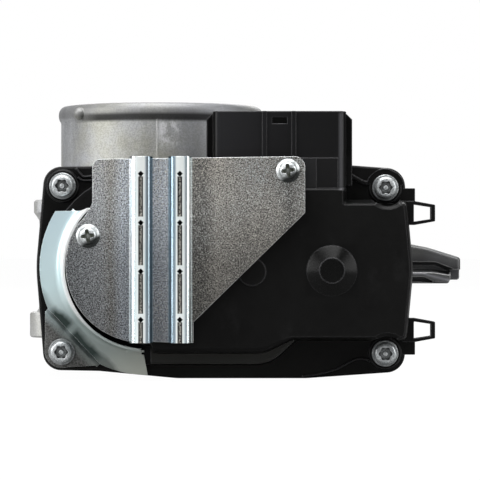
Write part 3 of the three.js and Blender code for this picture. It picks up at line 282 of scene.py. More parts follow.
def soft_box(x0, x1, y0, y1, z0, z1, edge):
    """A block with its edges rounded over."""
    made = box(x0, x1, y0, y1, z0, z1)
    bm = bmesh.new()
    bm.from_mesh(made.data)
    bmesh.ops.bevel(bm, geom=bm.edges[:], offset=edge, segments=3, profile=0.5, affect="EDGES")
    bm.to_mesh(made.data)
    bm.free()
    return made


def bar_z(points, low, high):
    return loft_z([(points, low), (points, high)])


def combine(base, operation, tools):
    """Boolean of closed solids. The tools are used up."""
    for tool in tools:
        step = base.modifiers.new("step", "BOOLEAN")
        step.operation = operation
        step.object = tool
        step.solver = "MANIFOLD"
    bpy.context.view_layer.update()
    evaluated = base.evaluated_get(bpy.context.evaluated_depsgraph_get())
    mesh = bpy.data.meshes.new_from_object(evaluated)
    base.modifiers.clear()
    base.data = mesh
    for tool in tools:
        bpy.data.objects.remove(tool)
    if not mesh.polygons:
        raise RuntimeError("a boolean left nothing")
    return base


def join(first, *others):
    return combine(first, "UNION", others) if others else first


def cut(first, *tools):
    return combine(first, "DIFFERENCE", tools) if tools else first


def piece(name, made, look, body, replaces, smooth=32):
    """A finished piece: in metres, named, smooth up to an angle in degrees, and tied to its body."""
    made.name = name
    made.data.name = name
    made.data.transform(Matrix.Scale(0.001, 4))
    made.data.materials.clear()
    made.data.materials.append(look)
    for polygon in made.data.polygons:
        polygon.use_smooth = True
    made.data.set_sharp_from_angle(angle=math.radians(smooth))
    flatten = made.modifiers.new("flat_faces", "WEIGHTED_NORMAL")
    flatten.keep_sharp = True
    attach(made, body)
    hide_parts(*replaces)
    return made


# ---- Materials ----
def opaque(colour):
    """A colour or a grey level with full alpha. A value passes through."""
    if isinstance(colour, Value):
        return colour
    return (*colour, 1) if isinstance(colour, tuple) else (colour, colour, colour, 1)


class Value:
    """A number or a colour that changes over a surface."""

    def __init__(self, look, socket):
        self.look = look
        self.socket = socket

    def __add__(self, other):
        return self.look.math("ADD", self, other)

    def __sub__(self, other):
        return self.look.math("SUBTRACT", self, other)

    def __rsub__(self, other):
        return self.look.math("SUBTRACT", other, self)

    def __mul__(self, other):
        return self.look.math("MULTIPLY", self, other)

    def span(self, start, end):
        """0 at the start, rising to 1 at the end."""
        return self.look.value("ShaderNodeMapRange", 0, {"Value": self, "From Min": start, "From Max": end})

    def band(self, centre, half, soft):
        """1 within `half` of the centre, falling to 0 over `soft`."""
        away = self.look.math("ABSOLUTE", self - centre)
        inputs = {"Value": away, "From Min": half, "From Max": half + soft, "To Min": 1.0, "To Max": 0.0}
        return self.look.value("ShaderNodeMapRange", 0, inputs)

    def on_ribs(self, half, soft):
        """1 on both of the heat shield's ribs, for a place across it."""
        return self.look.math("MAXIMUM", *[self.band(rib_x, half, soft) for rib_x in RIB_X])

    def ramp(self, *stops):
        """Colours or grey levels between the stops, each a position from 0 to 1 and a colour."""
        made = self.look.value("ShaderNodeValToRGB", "Color", {"Fac": self})
        elements = made.socket.node.color_ramp.elements
        while len(elements) < len(stops):
            elements.new(0.5)
        for element, (position, colour) in zip(elements, stops):
            element.position = position
            element.color = opaque(colour)
        return made


class Look:
    """A procedural material. Its coordinates are those of the whole part, in metres."""

    def __init__(self, name, metallic, roughness):
        self.material = bpy.data.materials.new(name)
        self.material.use_nodes = True
        self.tree = self.material.node_tree
        self.shader = self.tree.nodes["Principled BSDF"]
        self.shader.inputs["Metallic"].default_value = metallic
        self.shader.inputs["Roughness"].default_value = roughness
        self.place = self.value("ShaderNodeTexCoord", "Object", {})

    def feed(self, socket, given):
        if isinstance(given, Value):
            self.tree.links.new(given.socket, socket)
        else:
            socket.default_value = given

    def value(self, kind, output, inputs, **settings):
        """One output of a new shader node. Its inputs are numbers, vectors or other values."""
        made = self.tree.nodes.new(kind)
        for key, setting in settings.items():
            setattr(made, key, setting)
        for key, given in inputs.items():
            self.feed(made.inputs[key], given)
        return Value(self, made.outputs[output])

    def math(self, operation, a, b=0.0):
        return self.value("ShaderNodeMath", 0, {0: a, 1: b}, operation=operation)

    def noise(self, scale, detail, roughness, stretch=None):
        place = self.place
        if stretch:
            place = self.value("ShaderNodeMapping", 0, {"Vector": place, "Scale": stretch})
        inputs = {"Vector": place, "Scale": scale, "Detail": detail, "Roughness": roughness}
        return self.value("ShaderNodeTexNoise", "Fac", inputs)

    def axes(self, names):
        """Coordinates in millimetres, one for each letter of X, Y and Z."""
        return [self.value("ShaderNodeSeparateXYZ", name, {"Vector": self.place}) * 1000.0 for name in names]

    def mix(self, factor, a, b, blend="MIX"):
        factor_in, a_in, b_in, colour_out = 0, 6, 7, 2
        inputs = {factor_in: factor, a_in: opaque(a), b_in: opaque(b)}
        return self.value("ShaderNodeMix", colour_out, inputs, data_type="RGBA", blend_type=blend)

    def darken(self, base, by, strength):
        return self.mix(strength, base, by, "MULTIPLY")

    def over(self, base, colour, mask, strength=None):
        """The base with a colour laid over it where the mask is 1."""
        return self.mix(mask if strength is None else mask * strength, base, colour)

    def coats(self, base, *coats):
        """Coats laid over the base in turn. Each is a colour, a mask and perhaps a strength."""
        for coat in coats:
            base = self.over(base, *coat)
        return base

    def hollow(self, reach, dark, light):
        """1 on open surfaces, falling to 0 inside pits and corners."""
        inputs = {"Distance": reach * 0.001}
        open_sky = self.value("ShaderNodeAmbientOcclusion", "AO", inputs, samples=8, only_local=True)
        return open_sky.span(dark, light)

    def edges(self, radius, low=0.01, high=0.12):
        """A mask that is 1 on outer edges and corners, and the softened normal that it comes from."""
        soft = self.value("ShaderNodeBevel", 0, {"Radius": radius * 0.001}, samples=6)
        true = self.value("ShaderNodeNewGeometry", "True Normal", {})
        aligned = self.value("ShaderNodeVectorMath", "Value", {0: soft, 1: true}, operation="DOT_PRODUCT")
        return (1.0 - aligned).span(low, high) * self.hollow(1.5, 0.7, 0.88), soft

    def bump(self, height, strength, distance_mm, normal):
        inputs = {"Height": height, "Strength": strength, "Distance": distance_mm * 0.001, "Normal": normal}
        return self.value("ShaderNodeBump", 0, inputs)

    def finish(self, colour, roughness, normal, **plain):
        """The material. The plain inputs can be values too."""
        for key, given in {"Base Color": colour, "Roughness": roughness, "Normal": normal, **plain}.items():
            self.feed(self.shader.inputs[key.replace("_", " ")], given)
        return self.material


def scaled(shade, factor, most=1.0):
    """A colour made darker or brighter."""
    return tuple(min(c * factor, most) for c in shade)


def cast_aluminium(name, shade):
    """Sand-grey die casting: fine grain, warm and cool blotches, scuffs, brighter rubbed edges, and painted
    shade and a painted highlight in places.
    """
    look = Look(name, 0.7, 0.52)
    x, y, z = look.axes("XYZ")
    grain = look.noise(1700, 2, 0.7)
    blotch = look.noise(38, 4, 0.65)
    flow = look.noise(110, 5, 0.7, (1, 1, 0.35))
    warm = (shade[0] * 0.98, shade[1] * 0.98, shade[2] * 0.88)
    cool = (shade[0] * 1.08, shade[1] * 1.1, shade[2] * 1.14)
    base = blotch.ramp((0.38, warm), (0.6, cool))
    base = look.darken(base, flow.ramp((0.35, 0.6), (0.6, 1.0)), 0.4)
    base = look.darken(base, grain.ramp((0.4, 0.45), (0.6, 1.0)), 0.45)
    scuff = look.noise(420, 4, 0.75, (1, 1, 0.5)).ramp((0.6, 0.0), (0.68, 0.7))
    scuffed = scuff * blotch.ramp((0.5, 0.0), (0.62, 1.0))
    # A rubbed patch high on the front of the barrel.
    patch = x.band(5.0, 2.5, 3.5) * z.band(81.0, 3.0, 4.5)
    rubbed = look.noise(330, 5, 0.8, (1, 1, 0.6)).ramp((0.46, 0.0), (0.6, 0.75))
    # Darker on the bead; painted shade under the bead, beside the connector and towards the arm; paler outer
    # columns.
    bead = z.span(BEAD_FOOT_Z, BEAD_FOOT_Z + 2.0)
    painted_shade_under_bead = z.band(BEAD_FOOT_Z + 0.8, 0.9, 1.1) * x.span(-35.0, -24.0)
    painted_shade_by_connector = x.band(CONNECTOR["x0"], 8.0, 14.0) * z.span(50.0, 60.0)
    base = look.coats(
        base,
        ((0.62, 0.63, 0.65), scuffed),
        ((0.85, 0.85, 0.88), patch * rubbed),
        (0.16, bead, 0.6),
        # Painted shade on the barrel beside the connector.
        ((0.16, 0.165, 0.18), painted_shade_by_connector, 0.45),
        (0.8, x.span(-44.5, -47.0), 0.2),
        # Painted shade: a dark line under the bead.
        ((0.03, 0.029, 0.03), painted_shade_under_bead, 0.86),
        # Painted shade over the arm.
        ((0.05, 0.051, 0.056), x.span(78.0, 98.0), 0.84),
    )
    # Painted shade in the arm's groove and under its top edge, and a painted highlight band between them,
    # which follow the bend at its tip.
    bent = z + x.span(106.0, 118.0) * 3.0
    on_arm = x.span(84.0, 92.0) * y.span(-4.0, -9.0)
    up_arm = bent.span(20.8, 37.0)
    shadow = up_arm.ramp(
        (0.02, 0.3), (0.1, 0.75), (0.19, 0.0), (0.33, 0.0), (0.42, 0.85), (0.52, 0.8), (0.75, 0.1),
    )
    painted_highlight_band = up_arm.ramp((0.2, 0.0), (0.25, 0.5), (0.3, 0.0))
    bright_edges, soft = look.edges(0.8)
    base = look.coats(
        base,
        ((0.012, 0.012, 0.014), on_arm * shadow),
        ((0.35, 0.35, 0.38), on_arm * painted_highlight_band),
        (scaled(shade, 1.7, 0.9), bright_edges, 0.5),
    )
    rough = flow.ramp((0.3, 0.46), (0.7, 0.62))
    height = grain * 0.6 + flow * 0.7
    return look.finish(base, rough, look.bump(height, 0.5, 0.12, soft))


def moulded(name, shade, roughness, bump=0.25, wear=1.7, grain_scale=2200):
    """Injection moulding with a fine spark texture and slightly polished edges."""
    look = Look(name, 0.0, roughness)
    grain = look.noise(grain_scale, 2, 0.6)
    cloud = look.noise(30, 4, 0.6)
    base = cloud.ramp((0.3, scaled(shade, 0.8)), (0.7, scaled(shade, 1.25)))
    bright_edges, soft = look.edges(0.5)
    base = look.over(base, scaled(shade, wear), bright_edges, 0.5)
    spread = cloud.ramp((0.3, roughness - 0.05), (0.7, roughness + 0.07))
    rough = look.mix(bright_edges * 0.5, spread, roughness - 0.1)
    return look.finish(base, rough, look.bump(grain, bump, 0.03, soft))


def plated(name, shade, roughness, tint=None, grain_scale=900, depth=0.04):
    """Zinc plated or plain bright steel: faint clouds of colour, fine scratches and bright edges."""
    look = Look(name, 1.0, roughness)
    cloud = look.noise(60, 4, 0.6)
    grain = look.noise(grain_scale, 3, 0.6)
    base = cloud.ramp((0.32, tint or scaled(shade, 0.88)), (0.68, shade))
    base = look.darken(base, grain.ramp((0.3, 0.6), (0.7, 1.0)), 0.22)
    bright_edges, soft = look.edges(0.35)
    base = look.over(base, scaled(shade, 1.25, 0.98), bright_edges, 0.4)
    rough = grain.ramp((0.3, max(roughness - 0.06, 0.03)), (0.7, roughness + 0.08))
    return look.finish(base, rough, look.bump(grain, 0.3, depth, soft))


def bright_zinc(name, recess_darkening, tone=1.0, recess_colour=(0.03, 0.032, 0.03), shaded=()):
    """Bright zinc plating on screws: faint clouds, fine handling marks, and grime with painted shade in the
    recesses. The screws listed as shaded also have painted shade on their lower right side."""
    look = Look(name, 0.65, 0.36)
    cloud = look.noise(260, 3, 0.6)
    marks = look.noise(1500, 3, 0.7)
    pale, bright = scaled((0.46, 0.49, 0.5), tone), scaled((0.74, 0.77, 0.78), tone)
    base = cloud.ramp((0.35, pale), (0.65, bright))
    base = look.darken(base, marks.ramp((0.42, 0.3), (0.58, 1.0)), 0.6)
    bright_edges, soft = look.edges(0.22)
    # Grime and painted shade darken the recesses.
    dirt_and_shade_in_recesses = (1.0 - look.hollow(1.4, 0.55, 0.92)) * recess_darkening
    base = look.coats(base, ((0.92, 0.94, 0.95), bright_edges, 0.7), (recess_colour, dirt_and_shade_in_recesses))
    x, z = look.axes("XZ")
    # Painted shade on the lower right of the listed screws.
    for screw in shaded:
        right, up = x - screw.x, z - screw.z
        lower = right * 0.5 - up * 0.86
        painted_lower_right_shade = right.band(0.0, 5.0, 0.5) * lower.span(0.9, 2.3)
        base = look.over(base, (0.012, 0.014, 0.013), painted_lower_right_shade, 0.97)
    rough = marks.ramp((0.3, 0.32), (0.7, 0.46))
    return look.finish(base, rough, look.bump(marks, 0.25, 0.03, soft))


# Painted reflections in soft bands down the heat shield: place across it in millimetres, brightness, and
# warmth of the tint.
SHIELD_REFLECTION_BANDS = [
    (-34, 0.5, -0.03), (-26, 0.76, -0.03), (-20, 0.95, -0.02), (-16.5, 0.7, 0.04), (-12, 1.3, -0.07),
    (-9, 0.95, -0.07), (1.5, 1.0, -0.07), (4.5, 1.25, -0.07), (14.5, 0.4, 0.03), (19.5, 0.39, 0.03),
    (24, 0.74, 0.05), (32, 0.62, 0.04), (45, 0.6, 0.04), (50.5, 0.34, 0.03), (57, 0.55, 0.04),
]
# Painted blue-grey reflections along the ribs' flanks: which rib, distance from its centre, half width and
# strength.
RIB_REFLECTION_LINES = [
    (0, 2.9, 0.9, 0.75), (0, 4.2, 0.3, 0.9), (1, -2.7, 0.9, 0.85), (1, -4.2, 0.3, 0.85), (1, 2.2, 0.15, 0.5),
]


def shield_steel(name):
    """The heat shield: grained plating with painted reflections in soft vertical bands, and bright pressed
    ribs carrying painted reflections.
    """
    look = Look(name, 1.0, 0.45)
    x, z = look.axes("XZ")
    grain = look.noise(2000, 2, 0.75)
    fleck = look.noise(3100, 1, 0.5)
    clouds = look.noise(22, 3, 0.5)
    wander = (look.noise(30, 2, 0.5) - 0.5) * 3.0
    left, right = -34.0, 58.0
    stops = []
    for place, value, warmth in SHIELD_REFLECTION_BANDS:
        shade = 0.86 * value
        colour = (shade * (1 + warmth), shade, shade * (1 - warmth * 1.5))
        stops.append(((place - left) / (right - left), colour))
    plain = (x + wander).span(left, right).ramp(*stops)
    height = z.span(5.0, 62.0).ramp((0.0, 0.36), (0.45, 0.5), (0.85, 0.95))
    plain = look.darken(plain, height, 1.0)
    plain = look.darken(plain, grain.ramp((0.4, 0.08), (0.62, 1.0)), 1.0)
    sparkle = clouds.ramp((0.4, (0.8, 0.87, 0.88)), (0.6, (0.93, 0.9, 0.8)))
    lit = fleck.ramp((0.54, 0.0), (0.68, 0.8)) * height
    plain = look.over(plain, sparkle, lit)

    # The ribs' pale colour and the lines on their flanks are painted reflections.
    tint = look.noise(140, 2, 0.5, (1, 1, 0.25))
    bright = tint.ramp((0.3, (0.72, 0.86, 0.89)), (0.7, (0.95, 0.97, 0.97)))
    for rib_number, away, half, depth in RIB_REFLECTION_LINES:
        line = x.band(RIB_X[rib_number] + away, half, 0.6) * depth
        bright = look.over(bright, (0.15, 0.23, 0.29), line)
    # The slot's torn strip runs below the first hole and stops at the bridges between the holes.
    slotted = look.math("LESS_THAN", z, RIB_HOLE_Z[0] - 1.0)
    for hole_z in RIB_HOLE_Z:
        slotted = slotted * (1.0 - z.band(hole_z + 0.7, 1.5, 0.2))
    for middle_x in RIB_X:
        # A painted highlight along each rib's crest.
        bright = look.over(bright, (0.9, 0.95, 0.94), x.band(middle_x, 1.3, 0.3), 0.9)
        torn = x.band(middle_x, 0.85, 0.1) * slotted
        flakes = grain.ramp((0.42, 0.0), (0.56, 0.9))
        inside = x.band(middle_x, 0.35, 0.2) * flakes
        bright = look.over(bright, look.mix(inside, 0.02, (0.6, 0.58, 0.52)), torn)

    rib = x.on_ribs(4.3, 0.35)
    bright_edges, soft = look.edges(0.3)
    face = look.mix(rib, plain, bright)
    face = look.over(face, (0.9, 0.92, 0.92), bright_edges * (0.9 - rib * 0.85))
    rough = look.mix(rib, grain.ramp((0.3, 0.36), (0.7, 0.58)), 0.24)
    relief = (grain + fleck * 0.5) * (1.0 - rib * 0.92)
    metal = 1.0 - x.on_ribs(1.9, 0.5) * 0.62
    return look.finish(face, rough, look.bump(relief, 0.8, 0.08, soft), Metallic=metal)


def fold_ends():
    """Where the fold between the crescent's face and its ear starts and ends."""
    c = CRESCENT
    return [(c["x"] + c["outer"] * math.cos(t), c["z"] + c["outer"] * math.sin(t))
            for t in (math.radians(c["outer_to"]), math.radians(c["tail_from"]))]


def crescent_steel(name):
    """Smooth pale blue plating that turns greener and darker towards the lower end, with a painted white
    highlight on the rim, painted dark reflections in the fold, and a darker, rougher ear with painted shade.
    """
    look = Look(name, 0.4, 0.34)
    x, y, z = look.axes("XYZ")
    along = (z - x * 0.6).span(-8.0, 72.0)
    cloud = look.noise(26, 2, 0.5)
    base = along.ramp(
        (0.0, (0.46, 0.48, 0.43)), (0.2, (0.29, 0.33, 0.315)), (0.42, (0.24, 0.29, 0.285)),
        (0.56, (0.53, 0.64, 0.65)), (0.65, (0.56, 0.7, 0.72)), (1.0, (0.5, 0.63, 0.68)),
    )
    base = look.darken(base, cloud.ramp((0.3, 0.7), (0.7, 1.0)), 0.15)
    # A painted highlight turns the rim white along its upper part.
    rim = along.ramp((0.05, (0.28, 0.31, 0.29)), (0.3, (0.4, 0.46, 0.45)), (0.5, (0.97, 0.98, 0.98)))
    base = look.over(base, rim, y.span(CRESCENT["y"] - 0.7, CRESCENT["y"] - 3.3))
    # Painted dark reflections in the fold, measured along it and off it.
    wander = (look.noise(90, 3, 0.6) - 0.5) * 5.0
    (ax, az), (bx, bz) = fold_ends()
    length = math.hypot(bx - ax, bz - az)
    dx, dz = (bx - ax) / length, (bz - az) / length
    from_x, from_z = x - ax, z - az
    along_fold = from_x * dx + from_z * dz
    off_fold = from_x * dz - from_z * dx
    across = (off_fold + wander).band(-0.4, 1.4, 2.2)
    place = (along_fold + wander * 0.6).span(0.0, length)
    painted_fold_reflection = place.ramp(
        (0.0, 0.4), (0.1, 1.0), (0.34, 1.0), (0.4, 0.15), (0.44, 0.15), (0.5, 1.0), (0.85, 1.0), (1.0, 0.6),
    )
    # The ear is rougher, and darker with grain and painted shade.
    ear = y.span(-59.2, -58.6)
    grain = look.noise(1500, 3, 0.7)
    ear_grain_and_shade = grain.ramp((0.38, (0.05, 0.05, 0.047)), (0.62, (0.17, 0.17, 0.165)))
    bright_edges, soft = look.edges(0.25, 0.04, 0.2)
    base = look.coats(
        base,
        ((0.022, 0.036, 0.033), across * painted_fold_reflection),
        (ear_grain_and_shade, ear * off_fold.span(1.0, 5.0)),
        ((0.88, 0.9, 0.9), bright_edges, 0.6),
    )
    rough = look.mix(ear, 0.34, 0.45)
    return look.finish(base, rough, look.bump(look.mix(ear, cloud, grain), 0.1, 0.02, soft))


def black_moulding(name):
    """The cover's glass filled plastic: near black and polished on the front, greyer on the lower levels
    and the connector, with crisp bright edges that are partly rubbed and partly painted highlight, painted
    highlights on the shroud's corner and the lower step, and painted shade on the dome's side wall."""
    look = Look(name, 0.0, 0.4)
    x, y, z = look.axes("XYZ")
    grain = look.noise(2400, 2, 0.6)
    cloud = look.noise(24, 5, 0.65)
    base = cloud.ramp((0.35, 0.0018), (0.65, (0.0042, 0.0042, 0.0041)))
    front = CONNECTOR["y0"]
    shroud = z.span(57.0, 59.0) * y.span(front + 0.7, front + 0.2)
    greys = x.span(22.0, 73.0).ramp(
        (0.0, (0.085, 0.085, 0.093)), (0.5, (0.042, 0.042, 0.045)), (1.0, (0.033, 0.033, 0.034)),
    )
    # A painted highlight down the shroud's rounded right corner.
    shroud_corner_highlight = x.band(71.0, 0.5, 1.0) * (shroud * z.span(87.3, 86.0))
    # A painted highlight on the lower step near the bottom.
    lower_step_highlight = y.band(SHOULDER_Y, 0.5, 0.5) * z.span(2.0, 0.0)
    # Painted shade on the dome's side wall.
    dome_wall_shade = y.span(DOME_Y + 0.1, DOME_Y + 0.9) * y.span(-65.4, -66.2)
    ledge = y.band(-56.3, 0.8, 0.3) * z.span(0.0, -12.0)
    dust = look.noise(75, 7, 0.75, (1, 1, 0.6)).ramp((0.56, 0.0), (0.7, 0.45))
    base = look.coats(
        base,
        (greys, shroud),
        ((0.32, 0.32, 0.34), shroud_corner_highlight, 0.9),
        ((0.026, 0.026, 0.024), lower_step_highlight),
        (0.0006, dome_wall_shade, 0.8),
        ((0.015, 0.015, 0.0138), ledge * x.span(80.0, 20.0)),
        ((0.009, 0.009, 0.0092), grain.ramp((0.55, 0.0), (0.75, 0.35))),
        ((0.011, 0.011, 0.0112), dust * y.span(DOME_Y + 0.3, DOME_Y + 0.1)),
    )
    # The edges are rubbed bright and carry a painted highlight, weaker on the latch and the lower lip of the
    # motor's cone.
    bright_edges, soft = look.edges(0.45, 0.015, 0.09)
    latch = x.band(47.4, 3.6, 0.2) * z.band(84.4, 1.5, 0.2)
    cone_x, cone_z = x - MOTOR_CONE[0], z - MOTOR_CONE[1]
    cone = cone_x.band(0.0, 9.8, 0.4) * cone_z.band(0.0, 9.8, 0.4)
    cone = cone * y.span(DOME_Y + 0.2, DOME_Y - 0.1)
    lip = cone * cone_z.span(5.0, -5.0)
    bright_edges = bright_edges * (1.0 - look.math("MAXIMUM", latch, lip) * 0.65)
    base = look.over(base, (0.1, 0.1, 0.105), bright_edges, 0.9)
    rough = look.mix(bright_edges * 0.6, cloud.ramp((0.3, 0.36), (0.7, 0.48)), 0.28)
    rough = look.coats(rough, (0.26, z.span(69.0, 71.0), 0.8), (0.24, cone, 0.9))
    return look.finish(base, rough, look.bump(grain, 0.3, 0.03, soft), Specular_IOR_Level=0.12)


CAST = cast_aluminium("cast_aluminium", (0.43, 0.43, 0.43))
STEEL = plated("ground_steel", (0.56, 0.57, 0.58), 0.28)
ZINC = plated("zinc_steel", (0.58, 0.61, 0.62), 0.3)
SCREW = bright_zinc("bright_zinc", 0.95)
WASHER = bright_zinc("washer_zinc", 0.95, 0.6)
CROSS_SCREW = bright_zinc("bright_zinc_cross", 0.9, 1.0, (0.13, 0.14, 0.1), SHIELD_SCREWS)
SHIELD = shield_steel("grained_shield_steel")
CRESCENT_LOOK = crescent_steel("crescent_steel")
BLACK = black_moulding("black_moulding")
NATURAL = moulded("natural_gear_plastic", (0.66, 0.61, 0.48), 0.45, 0.15, 1.2)
BOARD = moulded("coated_board", (0.02, 0.11, 0.045), 0.35, 0.2, 1.5)
RUBBER = moulded("rubber", (0.011, 0.011, 0.011), 0.75, 0.4, 1.2, 1200)
BRASS = plated("brass", (0.72, 0.55, 0.26), 0.3, (0.62, 0.44, 0.18))
COPPER = plated("copper", (0.74, 0.4, 0.24), 0.32, (0.6, 0.3, 0.16))
FERRITE = moulded("ferrite", (0.05, 0.05, 0.055), 0.6, 0.6, 1.8, 1500)
CORE = plated("core_laminations", (0.32, 0.32, 0.33), 0.4, None, 400, 0.1)
SPRING = plated("spring_wire", (0.26, 0.26, 0.28), 0.3)
LOOKS = {
    "cast_aluminium": CAST, "steel": STEEL, "zinc_steel": ZINC, "bright_zinc": CRESCENT_LOOK,
    "dark_zinc": SHIELD, "screw_zinc": SCREW, "core_steel": CORE, "tinned_blade": ZINC,
    "spring_steel": SPRING, "brass": BRASS, "copper": COPPER, "ferrite": FERRITE, "black_plastic": BLACK,
    "gear_plastic": NATURAL, "sensor_board": BOARD, "rubber": RUBBER,
}
for part in frame["record"]["subparts"]:
    node = NODES[part["node"]]
    node.data.materials.clear()
    node.data.materials.append(LOOKS[part["material_slot"]])


# ---- Die casting ----
REAR_BOSS_END_Y, MOTOR_HOUSING_R, MOTOR_HOUSING_END_Y, MOTOR_BORE_R = 54.0, 19.0, 12.0, 15.6
BARREL_SIDES = 128
ARM = {"low": -10, "high": 6, "x": 112, "y": 0, "hole": 3.4}
# The shaft's stepped bore, as (radius, from y, to y): clearance, front bearing, front seal, rear seal, needle
# bearing and end plug.
SHAFT_BORE = [
    (SHAFT_R + 0.35, -60, 60), (11.1, -60, -43.8), (8.1, -44, -40.3), (8.1, 39.5, 42.6), (7.1, 42.5, 60),
    (9.3, 51.2, 60),
]


def barrel():
    inside = BORE_R - 4
    wall = [(0.1, 0), (0.4, 0.4), (0.4, 62), (0, 66), (0, 85.6), (0.05, 85.9), (0.25, 86.3)]
    bead = [(-0.35, 87), (-0.1, 87.9), (0, 88.9), (-0.05, 89.8), (-0.3, 90.7), (-0.75, 91.5), (-1.3, 92.1),
            (-2, INLET_TOP_Z)]
    outside = [(TUBE_R + out, z) for out, z in wall] + [(BEAD_R + out, z) for out, z in bead]
    return turned_z([(inside, 0), *outside, (inside, INLET_TOP_Z), (inside, 0)], 0, 0, BARREL_SIDES)


def bore_cutter():
    mouth = [(BORE_R + out, INLET_TOP_Z + up) for out, up in ((0, -3), (0.4, -1.6), (1, -0.5), (1.4, 1))]
    return turned_z([(0, -1), (BORE_R, -1), *mouth, (0, INLET_TOP_Z + 1)], 0, 0, BARREL_SIDES)


def bolt_places():
    return [(sx * BOLT["x"], sy * BOLT["y"]) for sx in (-1, 1) for sy in (-1, 1)]


def manifold_flange():
    """The bottom flange with its four bolt columns, each tied to the barrel by a web."""
    x, y, foot = BOLT["x"] + BOLT["foot"], BOLT["y"] + BOLT["foot"], BOLT["foot"]
    corners = [(-x, -y, foot), (x, -y, foot), (x, y, foot), (-x, y, foot)]
    levels = [(0.6, 0), (0, 0.6), (0, FLANGE_T - 1), (0.3, FLANGE_T - 0.3), (1, FLANGE_T)]
    parts = [stack_z(corners, levels, 16)]
    column, head, seat, top = BOLT["column"], BOLT["head"], BOLT["head_z"], BOLT["top_z"]
    profile = [
        (0, 0), (column + 1.2, 0), (column + 1.2, FLANGE_T), (column + 0.3, FLANGE_T + 1.2),
        (column, FLANGE_T + 3), (column - 0.3, 40), (column + 0.1, seat - 2.4), (column + 1.2, seat - 0.6),
        (head - 0.4, seat + 0.2), (head, seat + 0.8), (head, top - 0.8), (head - 0.8, top), (0, top),
    ]
    for cx, cy in bolt_places():
        parts.append(turned_z(profile, cx, cy, 48))
        web = soft_box(BOLT["x"] - 7, BOLT["x"] + 7, -2.5, 2.5, 4, seat - 2, 1)
        web.data.transform(Matrix.Rotation(math.atan2(cy, cx), 4, "Z"))
        parts.append(web)
    return parts


def support_arm():
    front, back = ARM["low"], ARM["high"]
    corners = [(78, 17, 1), (84, 20.8, 4), (116.9, 20.8, 1), (117.5, 22.2, 0.5), (121.7, 22.2, 1.2),
               (121.7, 31.3, 1.6), (108.5, 35.4, 20), (98, 37.4, 10), (78, 40, 1)]
    levels = [(0.7, back), (0.2, back - 0.2), (0, back - 0.7), (0, front + 1.7), (0.25, front + 0.8),
              (0.8, front + 0.2), (1.5, front)]
    groove = [(80, 25.6, 0.5), (111, 25.6, 5), (117, 24.6, 0.5), (118.6, 26.4, 0.4), (111.5, 29.2, 6),
              (80, 29.2, 0.5)]
    groove_levels = [(1.3, front + 3), (0.9, front + 2.8), (0.35, front + 2), (0, front + 0.9), (-0.4, front),
                     (-0.9, front - 1)]
    under_cut = [(80, 21.6, 0.3), (106, 21.6, 3), (111, 21.2, 0.2), (107, 23.2, 3), (80, 23.2, 0.3)]
    return cut(
        stack_y(corners, levels),
        stack_y(groove, groove_levels),
        loft_y([(rounded(under_cut), front + 3), (rounded(inset(under_cut, -0.3)), front - 1)]),
        box(117.6, 124, front - 1, front + 6, 20, 26.4),
        rod_z(ARM["hole"], 10, 45, ARM["x"], ARM["y"]),
    )


def motor_housing(root_y):
    r, end = MOTOR_HOUSING_R, MOTOR_HOUSING_END_Y
    profile = [(0, root_y), (r, root_y), (r, end - 3), (r - 0.9, end - 0.9), (r - 3, end), (0, end)]
    return turned_y(profile, MOTOR.x, MOTOR.z, 96)


def rear_bearing_boss():
    end = REAR_BOSS_END_Y
    return turned_y([(0, 30), (13.2, 30), (12.8, 45), (12.5, end - 1), (11.5, end), (0, end)], 0, SHAFT_Z, 64)


